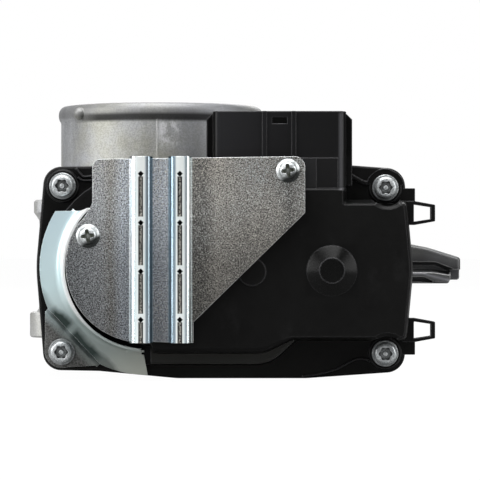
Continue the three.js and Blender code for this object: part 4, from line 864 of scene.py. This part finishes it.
def casting():
    back, root = CASTING_BACK_Y, CASTING_BACK_Y - 1
    plate_levels = [(1.2, back), (0.35, back - 0.35), (0, back - 1.2), (0, JOINT_Y + 0.3), (0.3, JOINT_Y)]
    neck = soft_box(-30, 30, root, -26, 2, 63, 1.5)
    motor_bridge = soft_box(28, MOTOR.x, root, -6, MOTOR.z - 12, MOTOR.z + 12, 1.5)
    middle_foot = soft_box(-5, 5, root, -30, -10, 4, 1)
    side_feet = [soft_box(x - 1.5, x + 1.5, -45, -30, -11, 6, 0.5) for x in (-24, 24)]
    pip_profile = [(0, back - 4), (1.9, back - 4), (1.9, -38.3), (1.2, -37.5), (0, -37.5)]
    bead_pip = ball(2.4, -31.4, -27.5, 88.6)
    mould_line = soft_box(-0.25, 0.25, -TUBE_R - 0.12, -TUBE_R + 1, 60, 85.8, 0.1)
    outside = join(
        barrel(),
        *manifold_flange(),
        stack_y(inset(FLANGE_OUTLINE, 0.5), plate_levels, 12),
        neck,
        motor_bridge,
        middle_foot,
        *side_feet,
        motor_housing(root),
        rear_bearing_boss(),
        turned_y(pip_profile, -42.5, 60.2, 24),
        bead_pip,
        mould_line,
        support_arm(),
    )
    bolt_holes = [rod_z(BOLT["hole"], -1, BOLT["top_z"] + 1, x, y) for x, y in bolt_places()]
    pocket = plate_y(rounded(CAVITY_OUTLINE), JOINT_Y - 1, POCKET_FLOOR_Y)
    shell = cut(outside, bore_cutter(), *bolt_holes, pocket)
    stop = middle("closed_stop_screw")
    spring_post = math.radians(47.4)
    # Bosses on the pocket's floor, as (radius, front y, x, z): shaft, idler, stop screw and spring post.
    bosses = [
        (13.6, -50.5, 0, SHAFT_Z),
        (6.5, -50.5, IDLER.x, IDLER.z),
        (4.2, -52.5, stop.x, stop.z),
        (3, -55.9, 22 * math.cos(spring_post), SHAFT_Z + 22 * math.sin(spring_post)),
    ]
    return cut(
        join(shell, *[rod_y(r, front, POCKET_FLOOR_Y + 1, x, z) for r, front, x, z in bosses]),
        bore_cutter(),
        *[rod_y(r, low_y, high_y, 0, SHAFT_Z) for r, low_y, high_y in SHAFT_BORE],
        rod_y(MOTOR_BORE_R, -60, MOTOR_HOUSING_END_Y - 3, MOTOR.x, MOTOR.z, 64),
        rod_y(PIN_HOLE_R, -60, -38, IDLER.x, IDLER.z),
        rod_y(2.15, -60, POCKET_FLOOR_Y + 3, stop.x, stop.z),
        *[rod_y(THREAD_R, JOINT_Y - 1, back + 1, s.x, s.z) for s in COVER_SCREWS],
        *[rod_y(DOWEL_HOLE_R, JOINT_Y - 1, JOINT_Y + 5.2, d.x, d.z) for d in DOWELS],
        *[rod_y(1.6, -48, POCKET_FLOOR_Y + 4, MOTOR.x, MOTOR.z + side * 17.6) for side in (-1, 1)],
    )


# ---- Gear cover ----
HARNESS_LOOPS = [(48.8, 1), (3.7, -1)]
# Low rims on the cover's flange: width, and the (x, z) points of the line they follow.
FLANGE_RIMS = [
    (1.5, [(74.4, 63.7), (77.6, 61.8), (80.3, 60.5), (82, 60.8), (83.4, 62.8), (87.9, 65.2), (93.3, 62.8),
           (94.8, 59.5)]),
    (0.6, [(-30.9, 66), (-29, 63.9), (-27.4, 62.8), (-22, 63.6)]),
    (0.6, [(-30.1, 62.6), (-27.8, 61.4), (-22, 61.8)]),
    (0.6, [(56.4, -14.2), (63, -13.3), (70, -11.3), (74.4, -8.9), (77.4, -7.6), (80.4, -7.6), (82.6, -8.4)]),
]


def mirrored(z, half):
    """An outline alike above and below z, from (x, distance from z, radius) along one side."""
    return [(x, z - away, r) for x, away, r in half] + [(x, z + away, r) for x, away, r in reversed(half)]


def harness_loop(z, side):
    """A loop at the cover's right edge for a harness clip, and the tab that ties it to the flange."""
    outer = mirrored(z, [(95, 4.6, 0.3), (99.8, 4.6, 0.3), (107.6, 3.2, 0.4)])
    window = mirrored(z, [(99.4, 3.3, 0.2), (106, 2.3, 0.2)])
    eye = cut(
        soft_plate_y(outer, COVER_FLANGE_Y - 2, COVER_BACK_Y, 0.25, 3),
        plate_y(rounded(window, 3), COVER_FLANGE_Y - 3, COVER_BACK_Y + 1),
    )
    ends = sorted((z + side * 4.2, z + side * 9.6))
    return [eye, soft_box(92, 100, COVER_FLANGE_Y, COVER_BACK_Y, *ends, 0.3)]


def connector_shroud():
    c = CONNECTOR
    front, back, low_z, ledge = c["y0"], c["y1"], c["z0"], c["ledge"]
    corners = [(c["x0"], front, 3), (c["x1"], front, 3), (c["x1"], back, 2), (c["x0"], back, 2)]
    levels = [(0, low_z), (0, c["mouth"] - 0.4), (0.12, c["mouth"] - 0.12), (0.4, c["mouth"])]
    parts = [stack_z(corners, levels, 8)]
    for wall_x, out in ((c["x0"], -1), (c["x1"], 1)):
        far, top = wall_x + out * c["rib_x"], c["rib_top"]
        outline = [(wall_x - out, low_z + 2, 0.2), (far, low_z + 2, 0.4), (far, top - 2.1, 0.4),
                   (wall_x + out * 0.3, top, 0.3), (wall_x - out, top, 0.1)]
        parts.append(soft_plate_y(outline[::out], front + 5, back - 6, 0.4, 4))
    for x in (41.7, 52.8):
        parts.append(soft_box(x - 0.9, x + 0.9, front - 0.6, front + 1, ledge, c["mouth"], 0.25))
    parts.append(soft_box(44, 61.4, front - 0.8, front + 1, low_z, ledge, 0.2))
    parts.append(soft_box(61, 69.6, front - 0.4, front + 1, low_z, ledge, 0.15))
    return parts


def connector_cavity():
    """The connector's open inside, and the slot of its latch."""
    c = CONNECTOR
    x0, x1, y0, y1 = c["x0"] + c["wall"], c["x1"] - c["wall"], c["y0"] + c["wall"], c["y1"] - c["wall"]
    corners = [(x0, y0, 1), (x1, y0, 1), (x1, y1, 1), (x0, y1, 1)]
    levels = [(0, c["floor"]), (0, c["mouth"] - 0.5), (-0.4, c["mouth"] + 0.1), (-0.4, c["mouth"] + 1)]
    return [stack_z(corners, levels, 6), box(44.6, 50.3, c["y0"] - 2, c["y0"] + 4, 82.6, 85)]


def spline(points, steps=8):
    """Points and directions along a smooth line through the given points."""
    through = [Vector(p) for p in points]
    through = [2 * through[0] - through[1], *through, 2 * through[-1] - through[-2]]
    line = []
    for a, b, c, d in zip(through, through[1:], through[2:], through[3:]):
        for k in range(steps):
            t = k / steps
            slope = (c - a) * (t / 2)
            bend = (2 * a - 5 * b + 4 * c - d) * (t * t / 2)
            twist = (3 * b - a - 3 * c + d) * (t ** 3 / 2)
            line.append(b + slope + bend + twist)
    line.append(through[-2])
    ends = [line[0], *line, line[-1]]
    return line, [(after - before).normalized() for before, after in zip(ends, ends[2:])]


def flange_rim(width, points):
    """A low raised rim with a rounded crest on the cover's flange."""
    line, along = spline(points)
    half, top = width / 2, SCREW_PAD_Y - 0.5

    def strip(half):
        one = [(p.x + t.y * half, p.y - t.x * half) for p, t in zip(line, along)]
        other = [(p.x - t.y * half, p.y + t.x * half) for p, t in zip(line, along)]
        return one + other[::-1]

    foot = COVER_FLANGE_Y + 0.5
    levels = ((half + 0.2, foot), (half + 0.1, top + 0.5), (half, top + 0.2), (half * 0.5, top))
    return loft_y([(strip(reach), y) for reach, y in levels])


def cover_flange():
    back, front = COVER_BACK_Y, COVER_FLANGE_Y
    levels = [(0.3, back), (0, back - 0.3), (0, front + 0.9), (0.2, front + 0.3), (0.8, front)]
    return stack_y(FLANGE_OUTLINE, levels)


def cover_shoulder():
    """The cover's lower level, with room for the crescent shield."""
    c = CRESCENT
    foot, top = COVER_FLANGE_Y, SHOULDER_Y
    levels = [(-0.4, foot + 1), (0, foot - 0.4), (0.6, top + 1), (0.9, top + 0.3), (1.6, top)]
    recess = [*arc(c["x"], c["z"], 60, 118, 272, 60), *arc(c["x"], c["z"], 29.8, 272, 118, 80)]
    return cut(stack_y(inset(CAVITY_OUTLINE, -2.8), levels), plate_y(recess, -70, c["y"] + SHEET_T + 0.3))


def cover_dome():
    """The cover's upper level, from a flared skirt to a rounded front edge."""
    flares = ((1.2, 4), (0.6, -0.4))
    skirt = [(rounded(inset(DOME_OUTLINE, -flare)), SHOULDER_Y + back) for flare, back in flares]
    wall, front = rounded(DOME_OUTLINE), rounded(inset(DOME_FRONT, 0.2))
    edge = ((0, 2.6), (0.1, 1.7), (0.3, 0.9), (0.6, 0.35), (0.8, 0.1), (1, 0))
    return loft_y(skirt + [(blend(wall, front, share), DOME_Y + back) for share, back in edge])


def screw_relief(s):
    """The round scoop that clears a corner screw's head."""
    mouth = [(7.2, 1.6), (7.5, 0.9), (8.1, 0.3), (8.8, -0.1), (0, -0.1)]
    sides = [(r, DOME_Y + back) for r, back in mouth]
    return turned_y([(0, SCREW_PAD_Y), (7.2, SCREW_PAD_Y), *sides], s.x, s.z)


def screw_pad(s):
    sides = [(6, SCREW_PAD_Y), (6.4, SCREW_PAD_Y + 0.4), (6.7, COVER_FLANGE_Y + 1)]
    return turned_y([(0, SCREW_PAD_Y), *sides, (0, COVER_FLANGE_Y + 1)], s.x, s.z, 48)


def dome_boss(profile, x, z, sides):
    """A boss on the cover's front, from (radius, distance behind the front) pairs."""
    return turned_y([(r, DOME_Y + back) for r, back in profile], x, z, sides)


MOTOR_CONE_PROFILE = [
    (0, 1), (9.7, 1), (9.5, -0.1), (9.2, -0.4), (5.0, -2.75), (4.85, -3), (4.75, -3), (4.6, -2.8), (0, -2.8),
]
IDLER_BOSS_PROFILE = [(0, 1), (5.5, 1), (5.4, -0.5), (5.1, -0.8), (0, -0.8)]


def gear_cover():
    shield_seats = zip(SHIELD_SCREWS, (DOME_Y + 3, CONNECTOR["y0"] + 3))
    flange, shoulder, dome = cover_flange(), cover_shoulder(), cover_dome()
    reliefs = [screw_relief(s) for s in (COVER_SCREWS[1], COVER_SCREWS[3])]
    outside = join(
        flange,
        shoulder,
        dome,
        *[screw_pad(s) for s in COVER_SCREWS],
        *[flange_rim(width, points) for width, points in FLANGE_RIMS],
        *[rod_y(4.6, SHIELD_BACK_Y + 0.3, back, s.x, s.z) for s, back in shield_seats],
        dome_boss(MOTOR_CONE_PROFILE, *MOTOR_CONE, 64),
        dome_boss(IDLER_BOSS_PROFILE, IDLER.x, IDLER.z, 48),
        *connector_shroud(),
        *[made for z, side in HARNESS_LOOPS for made in harness_loop(z, side)],
    )
    hollow = cut(
        outside,
        *reliefs,
        plate_y(rounded(CAVITY_OUTLINE), LOWER_CEILING_Y, COVER_BACK_Y + 1),
        plate_y(rounded(inset(DOME_OUTLINE, 2.6)), DOME_INSIDE_Y, LOWER_CEILING_Y + 1),
        *connector_cavity(),
    )
    blades = [middle(f"connector_terminal_{k}") for k in range(1, 7)]
    return cut(
        join(hollow, rod_y(5.5, DOME_INSIDE_Y - 0.5, -68.8, IDLER.x, IDLER.z)),
        rod_y(PIN_HOLE_R, -70.6, -60, IDLER.x, IDLER.z),
        *[rod_y(CLEARANCE_R, -60, -50, s.x, s.z) for s in COVER_SCREWS],
        *[rod_y(DOWEL_HOLE_R, COVER_BACK_Y - 2.6, -50, d.x, d.z) for d in DOWELS],
        *[rod_y(2.15, -80, SHIELD_BACK_Y + 7, s.x, s.z) for s in SHIELD_SCREWS],
        *[box(b.x - 1.7, b.x + 1.7, b.y - 0.7, b.y + 0.7, 50, 70) for b in blades],
    )


# ---- Shields ----
SHEET = {"x0": -23.25, "x1": 56.9, "z0": -0.4, "z1": 69.9, "arc": (-4, 29, 29.3)}
# A pressed rib: half widths and heights above the sheet, its slot's half width, holes and bridges.
RIB = {
    "half": 4.4, "shoulder": 3.2, "shoulder_h": 2.2, "height": 3, "slot": 0.65, "hole_r": 1.15, "bridge": 2.1,
}


def rib_section(centre, skin):
    """A pressed rib's section as (x, y) points. The skin sets it in by the thickness of the sheet."""
    back = SHIELD_BACK_Y + (1 if skin else 0)
    base = SHIELD_BACK_Y - SHEET_T + skin
    foot, shoulder = RIB["half"] - skin, RIB["shoulder"]
    shoulder_y, crest_y = base - RIB["shoulder_h"], base - RIB["height"]
    half = [
        (foot, back), (foot, base), (foot - 0.25, base - 0.5), (shoulder + 0.25 - skin, shoulder_y + 0.35),
        (shoulder - 0.35 - skin * 0.6, shoulder_y - 0.15), (1.4, crest_y + 0.06), (0.9, crest_y),
    ]
    return [(centre - a, y) for a, y in half] + [(centre + a, y) for a, y in reversed(half)]


def heat_shield():
    p = SHEET
    outline = [
        *arc(*p["arc"], 150, 258, 48), (14.8, p["z0"]), (14.8, 7.4), (p["x1"], 48.6),
        *arc(p["x1"] - 4, p["z1"] - 4, 4, 0, 90, 12), *arc(p["x0"] + 3.2, p["z1"] - 4.2, 3.2, 90, 180, 10),
        (p["x0"], 52.6), (-24.2, 50), (-26.4, 46.8),
    ]
    sheet = plate_y(outline, SHIELD_BACK_Y - SHEET_T, SHIELD_BACK_Y)
    ribs = [bar_z(rib_section(x, 0), p["z0"], p["z1"]) for x in RIB_X]
    channels = [bar_z(rib_section(x, 0.9), p["z0"] - 1, p["z1"] + 1) for x in RIB_X]
    crest = SHIELD_BACK_Y - SHEET_T - RIB["height"]
    slot_ends = [z + RIB["hole_r"] + RIB["bridge"] for z in RIB_HOLE_Z[1:]] + [p["z0"] - 1]
    slots = []
    for x in RIB_X:
        for z, end in zip(RIB_HOLE_Z, slot_ends):
            slots.append(rod_y(RIB["hole_r"], crest - 1, SHIELD_BACK_Y + 1, x, z, 4))
            slots.append(box(x - RIB["slot"], x + RIB["slot"], crest - 1, crest + 0.6, end, z))
    holes = [rod_y(CLEARANCE_R, -90, -70, s.x, s.z) for s in SHIELD_SCREWS]
    return cut(cut(join(sheet, *ribs), *channels), *slots, *holes)


# The fold between the crescent's face and its ear, as (distance outwards, distance behind the face).
CRESCENT_FOLD = [
    (2.1, 6.75), (2.1, 5.75), (1.7, 5.55), (1.45, 5.1), (0.55, 1.3), (0.35, 0.75), (0.05, 0.3), (-0.35, 0.07),
    (-0.8, 0),
]
# The rim's section, as (share of the way from its foot to its edge, distance outwards, distance in front of
# the face). A distance of None is the rim's full depth.
CRESCENT_RIM = [
    (0, 2.8, -0.12), (0, 2.1, 0.06), (0.02, 1.45, 0.22), (0.05, 0.9, 0.52), (0.09, 0.48, 0.98),
    (0.14, 0.22, 1.6), (0.2, 0.08, 2.4), (1, 0, None), (1, -0.9, None), (0.2, -0.85, 2.3), (0.14, -0.72, 1.4),
    (0.09, -0.4, 0.6), (0.05, 0.3, -0.15), (0.02, 1.2, -0.65), (0, 2.1, -0.88), (0, 2.8, -0.9),
]
CRESCENT_TOP_Z = 49.5


def crescent_rim():
    """The upright rim, whose round foot and round edge have different centres, cut off level at the top."""
    c = CRESCENT
    steps = 110
    loops = []
    for k in range(steps + 1):
        loop = []
        for share, reach, forward in CRESCENT_RIM:
            above = CRESCENT_TOP_Z + share - c["z"]
            first = math.pi - math.asin(above / 34)
            angle = first + (math.radians(c["rim_to"]) - first) * k / steps
            off_x, off_z = c["foot_x"] - c["x"], c["foot_z"] - c["z"]
            foot = c["foot_r"] + off_x * math.cos(angle) + off_z * math.sin(angle)
            radius = foot + (c["rim_r"] + SHEET_T - foot) * share + reach
            if k == 0:
                angle = math.pi - math.asin(above / radius)
            y = c["rim_y"] if forward is None else c["y"] - forward
            loop.append((c["x"] + radius * math.cos(angle), y, c["z"] + radius * math.sin(angle)))
        loops.append(loop)
    return rings(loops)


def crescent_shield():
    c = CRESCENT
    screw = COVER_SCREWS[2]
    ear_y = SCREW_PAD_Y - 1.15
    side = arc(c["x"], c["z"], c["outer"], c["outer_from"], c["outer_to"], 36)
    tail = arc(c["x"], c["z"], c["outer"], c["tail_from"], c["tail_to"], 16)
    inner_r = c["foot_r"] + 2
    inner_to = 180 - math.degrees(math.asin((CRESCENT_TOP_Z - c["foot_z"]) / inner_r))
    inner = arc(c["foot_x"], c["foot_z"], inner_r, c["tail_to"], inner_to, 84)
    face = plate_y([*side, *tail, *inner], c["y"], c["y"] + SHEET_T)
    ear_corners = [(screw.x - 6.7, screw.z - 6.6, 6.4), (-22.3, -9.9, 0.3), (-42.6, 11.2, 0.3)]
    ear = plate_y(rounded(ear_corners), ear_y, ear_y + SHEET_T)
    start, end = Vector(side[-1]), Vector(tail[0])
    outwards = Vector((end.y - start.y, start.x - end.x)).normalized()

    def strip(reach):
        near, far = outwards * reach, outwards * (reach - 1)
        return [tuple(start + near), tuple(end + near), tuple(end + far), tuple(start + far)]

    fold = loft_y([(strip(reach), c["y"] + back) for reach, back in CRESCENT_FOLD])
    lip = soft_box(-11, -4.2, c["y"] - 1.6, c["y"] + 0.5, -4.6, -3.6, 0.2)
    return cut(join(face, ear, fold, crescent_rim(), lip), rod_y(CLEARANCE_R, -70, -50, screw.x, screw.z))


# ---- Fasteners ----
# Fastener profiles are (radius, distance behind the seat) pairs, with heads in front of it.
COVER_SCREW_HEAD = [
    (4.3, 0), (4.4, -0.15), (4.4, -1.5), (4.3, -2.1), (4.05, -2.6), (3.65, -3), (3.2, -3.18), (2.95, -3.2),
    (0, -3.2),
]
COVER_SCREW_PIN = [(0, -2.6), (0.75, -2.6), (0.95, -2.4), (0.95, -1.1), (0, -1.1)]
PAN_HEAD = [
    (4.4, 0), (4.5, -0.12), (4.5, -0.45), (4.35, -0.62), (3.7, -0.85), (3.55, -1), (3.5, -1.5), (3.3, -2.1),
    (2.9, -2.6), (2.3, -2.95), (1.6, -3.15), (0.8, -3.26), (0, -3.28),
]
LOBES, LOBE_R, LOBE_DEPTH = 6, 2.45, 0.25


def from_seat(profile, seat):
    return [(r, seat + back) for r, back in profile]


def cover_screw(place, node):
    """A corner screw with a six-lobed recess and a pin in its middle."""
    low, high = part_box(node)
    tip, seat = high.y * 1000, low.y * 1000 + 3.2
    x, z = place.x, place.z
    shank = [(0, tip), (2.2, tip), (2.4, tip - 0.6), (2.4, seat)]
    points = 72
    lobes = []
    for k in range(points):
        t = 2 * math.pi * k / points
        reach = LOBE_R + LOBE_DEPTH * math.cos(LOBES * t)
        lobes.append((x + reach * math.cos(t), z + reach * math.sin(t)))
    recess = plate_y(lobes, seat - 5, seat - 1.2)
    pin = turned_y(from_seat(COVER_SCREW_PIN, seat), x, z, 24)
    return join(cut(turned_y(shank + from_seat(COVER_SCREW_HEAD, seat), x, z), recess), pin)


def cross(size, x, z):
    """The outline of a cross recess with wide roots, turned a little."""
    points = []
    for k in range(4):
        turn = math.radians(8 + 90 * k)
        for a, b in ((2.75, -0.55), (2.75, 0.55), (0.95, 0.95)):
            across = a * math.cos(turn) - b * math.sin(turn)
            up = a * math.sin(turn) + b * math.cos(turn)
            points.append((x + size * across, z + size * up))
    return points


def shield_screw(place):
    """A cross-recess pan head screw."""
    seat, tip = SHIELD_BACK_Y - SHEET_T - 0.05, -71.2
    x, z = place.x, place.z
    shank = [(0, tip), (1.8, tip), (2, tip - 0.6), (2, seat)]
    recess = loft_y([(cross(size, x, z), seat - depth) for size, depth in ((0.5, 1), (1, 3), (1.12, 4.5))])
    return cut(turned_y(shank + from_seat(PAN_HEAD, seat), x, z), recess)


def washer(node):
    low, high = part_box(node)
    back, front = high.y * 1000, low.y * 1000
    hole_r, outer_r = 2.6, 5.1
    profile = [(hole_r, back), (outer_r - 0.1, back), (outer_r, back - 0.1), (outer_r, front + 0.25),
               (outer_r - 0.25, front), (hole_r + 0.2, front), (hole_r, front + 0.2), (hole_r, back)]
    place = middle(node)
    return turned_y(profile, place.x, place.z)


# ---- Valve ----
VALVE_SCREW_Y = 17
VALVE_SCREW_PROFILE = [
    (0, -5.4), (1.6, -5.4), (1.8, -5.2), (1.8, 5.2), (3.2, 5.2), (3.3, 5.35), (3.3, 6), (3.1, 6.5), (2.6, 7),
    (1.6, 7.3), (0, 7.4),
]


def opened(made):
    """Turns a valve piece about the shaft, by the angle that the valve rests at."""
    turn = Matrix.Rotation(OPENING, 4, "Y")
    made.data.transform(Matrix.Translation((0, 0, SHAFT_Z)) @ turn @ Matrix.Translation((0, 0, -SHAFT_Z)))
    return made


def valve_screw_holes():
    hole_r = 2.1
    return [rod_z(hole_r, 15, 40, 0, side * VALVE_SCREW_Y, 32) for side in (-1, 1)]


def throttle_shaft():
    journal = [(SHAFT_R - 0.2, -54), (SHAFT_R, -53.8), (SHAFT_R, 49.6), (4.4, 50.2), (0, 50.2)]
    profile = [(0, -64.2), (3.4, -64.2), (4, -63.6), (4, -54.2), (4.2, -54), *journal]
    slot = box(-6, 6, -37.4, 37.4, SHAFT_Z - 1.25, SHAFT_Z + 1.25)
    return opened(cut(turned_y(profile, 0, SHAFT_Z), slot, *valve_screw_holes()))


def throttle_plate():
    r, half = 37.25, 1.1
    profile = [(0, -half), (r - 0.2, -half), (r, 0.2 - half), (r, half - 0.2), (r - 0.2, half), (0, half)]
    disc = turned_z([(a, SHAFT_Z + z) for a, z in profile], 0, 0, 128)
    return opened(cut(disc, *valve_screw_holes()))


def valve_screw(y):
    made = turned_z([(r, SHAFT_Z + z) for r, z in VALVE_SCREW_PROFILE], 0, y, 48)
    low_z, high_z = SHAFT_Z + 6.4, SHAFT_Z + 8
    arms = [box(-a, a, y - b, y + b, low_z, high_z) for a, b in ((0.4, 2), (2, 0.4))]
    return opened(cut(made, *arms))


# ---- Pieces ----
piece("casting_skin", casting(), CAST, "housing", ["throttle_casting"])
piece("cover_skin", gear_cover(), BLACK, "housing", ["gear_cover"], 22)
piece("heat_shield_sheet", heat_shield(), SHIELD, "housing", ["heat_shield"])
piece("crescent_sheet", crescent_shield(), CRESCENT_LOOK, "housing", ["crescent_shield"])
for k, place in enumerate(COVER_SCREWS, 1):
    screw, under = f"cover_screw_{k}", f"cover_washer_{k}"
    piece(f"corner_screw_{k}", cover_screw(place, screw), SCREW, "housing", [screw])
    piece(f"corner_washer_{k}", washer(under), WASHER, "housing", [under])
for k, place in enumerate(SHIELD_SCREWS, 1):
    screw = f"shield_screw_{k}"
    piece(f"cross_screw_{k}", shield_screw(place), CROSS_SCREW, "housing", [screw])
piece("valve_shaft", throttle_shaft(), STEEL, "throttle_rotor", ["throttle_shaft"])
piece("valve_disc", throttle_plate(), BRASS, "throttle_rotor", ["throttle_plate"])
for k, y in ((1, -VALVE_SCREW_Y), (2, VALVE_SCREW_Y)):
    piece(f"valve_screw_{k}", valve_screw(y), STEEL, "throttle_rotor", [f"throttle_plate_screw_{k}"])


# ---- Floor, light and camera ----
low, high = cad_bounds


def floor():
    """A pale floor that looks nearly white to the camera and lights the part less."""
    half, gap = 6, 0.0004
    bm = bmesh.new()
    corners = ((-half, -half), (half, -half), (half, half), (-half, half))
    bm.faces.new([bm.verts.new((x, y, low.z - gap)) for x, y in corners])
    mesh = bpy.data.meshes.new("floor")
    bm.to_mesh(mesh)
    bm.free()
    made = bpy.data.objects.new("floor", mesh)
    SCENE.collection.objects.link(made)
    look = Look("floor", 0.0, 0.9)
    look.shader.inputs["Base Color"].default_value = opaque(0.3)
    glow = look.value("ShaderNodeEmission", 0, {"Strength": 1.09})
    share = look.value("ShaderNodeLightPath", "Is Camera Ray", {}) * 0.9
    surface = Value(look, look.shader.outputs[0])
    blended = look.value("ShaderNodeMixShader", 0, {0: share, 1: surface, 2: glow})
    look.feed(look.tree.nodes["Material Output"].inputs[0], blended)
    mesh.materials.append(look.material)


def softbox(name, place, aim, width, height, power):
    """A rectangular light that faces a point."""
    light = bpy.data.lights.new(name, "AREA")
    light.shape = "RECTANGLE"
    light.size, light.size_y, light.energy = width, height, power
    made = bpy.data.objects.new(name, light)
    made.location = place
    made.rotation_euler = (Vector(aim) - Vector(place)).to_track_quat("-Z", "Y").to_euler()
    SCENE.collection.objects.link(made)


floor()
centre = (low + high) / 2
# Name, place, width and height in metres, and power in watts.
for name, place, width, height, power in (
    ("top_softbox", (0.0, -0.25, 1.2), 1.2, 1.0, 26),
    ("left_softbox", (-1.2, -0.55, 0.45), 0.5, 1.1, 14),
    ("right_softbox", (1.25, -0.5, 0.45), 0.5, 1.1, 9),
    ("front_fill", (-0.5, -1.5, 1.0), 0.9, 0.7, 6),
    ("back_softbox", (0.2, 1.3, 0.8), 1.2, 0.8, 12),
):
    softbox(name, place, centre, width, height, power)

world = bpy.data.worlds.new("studio")
world.use_nodes = True
SCENE.world = world
tree = world.node_tree
back = tree.nodes["Background"]
back.inputs["Color"].default_value = (1, 1, 1, 1)
path = tree.nodes.new("ShaderNodeLightPath")
strength = tree.nodes.new("ShaderNodeMapRange")
strength.inputs["To Min"].default_value = 0.15
strength.inputs["To Max"].default_value = 1.0
tree.links.new(path.outputs["Is Camera Ray"], strength.inputs["Value"])
tree.links.new(strength.outputs[0], back.inputs["Strength"])
SCENE.view_settings.view_transform = "Standard"

camera_data = bpy.data.cameras.new("camera")
camera_data.sensor_width = 36
camera_data.lens = 183.4  # Millimetres, as is the sensor.
camera = bpy.data.objects.new("camera", camera_data)
camera.location = (0.0324, -1.0, 0.0384)
camera.rotation_euler = (math.radians(90), 0, 0)
SCENE.collection.objects.link(camera)
SCENE.camera = camera
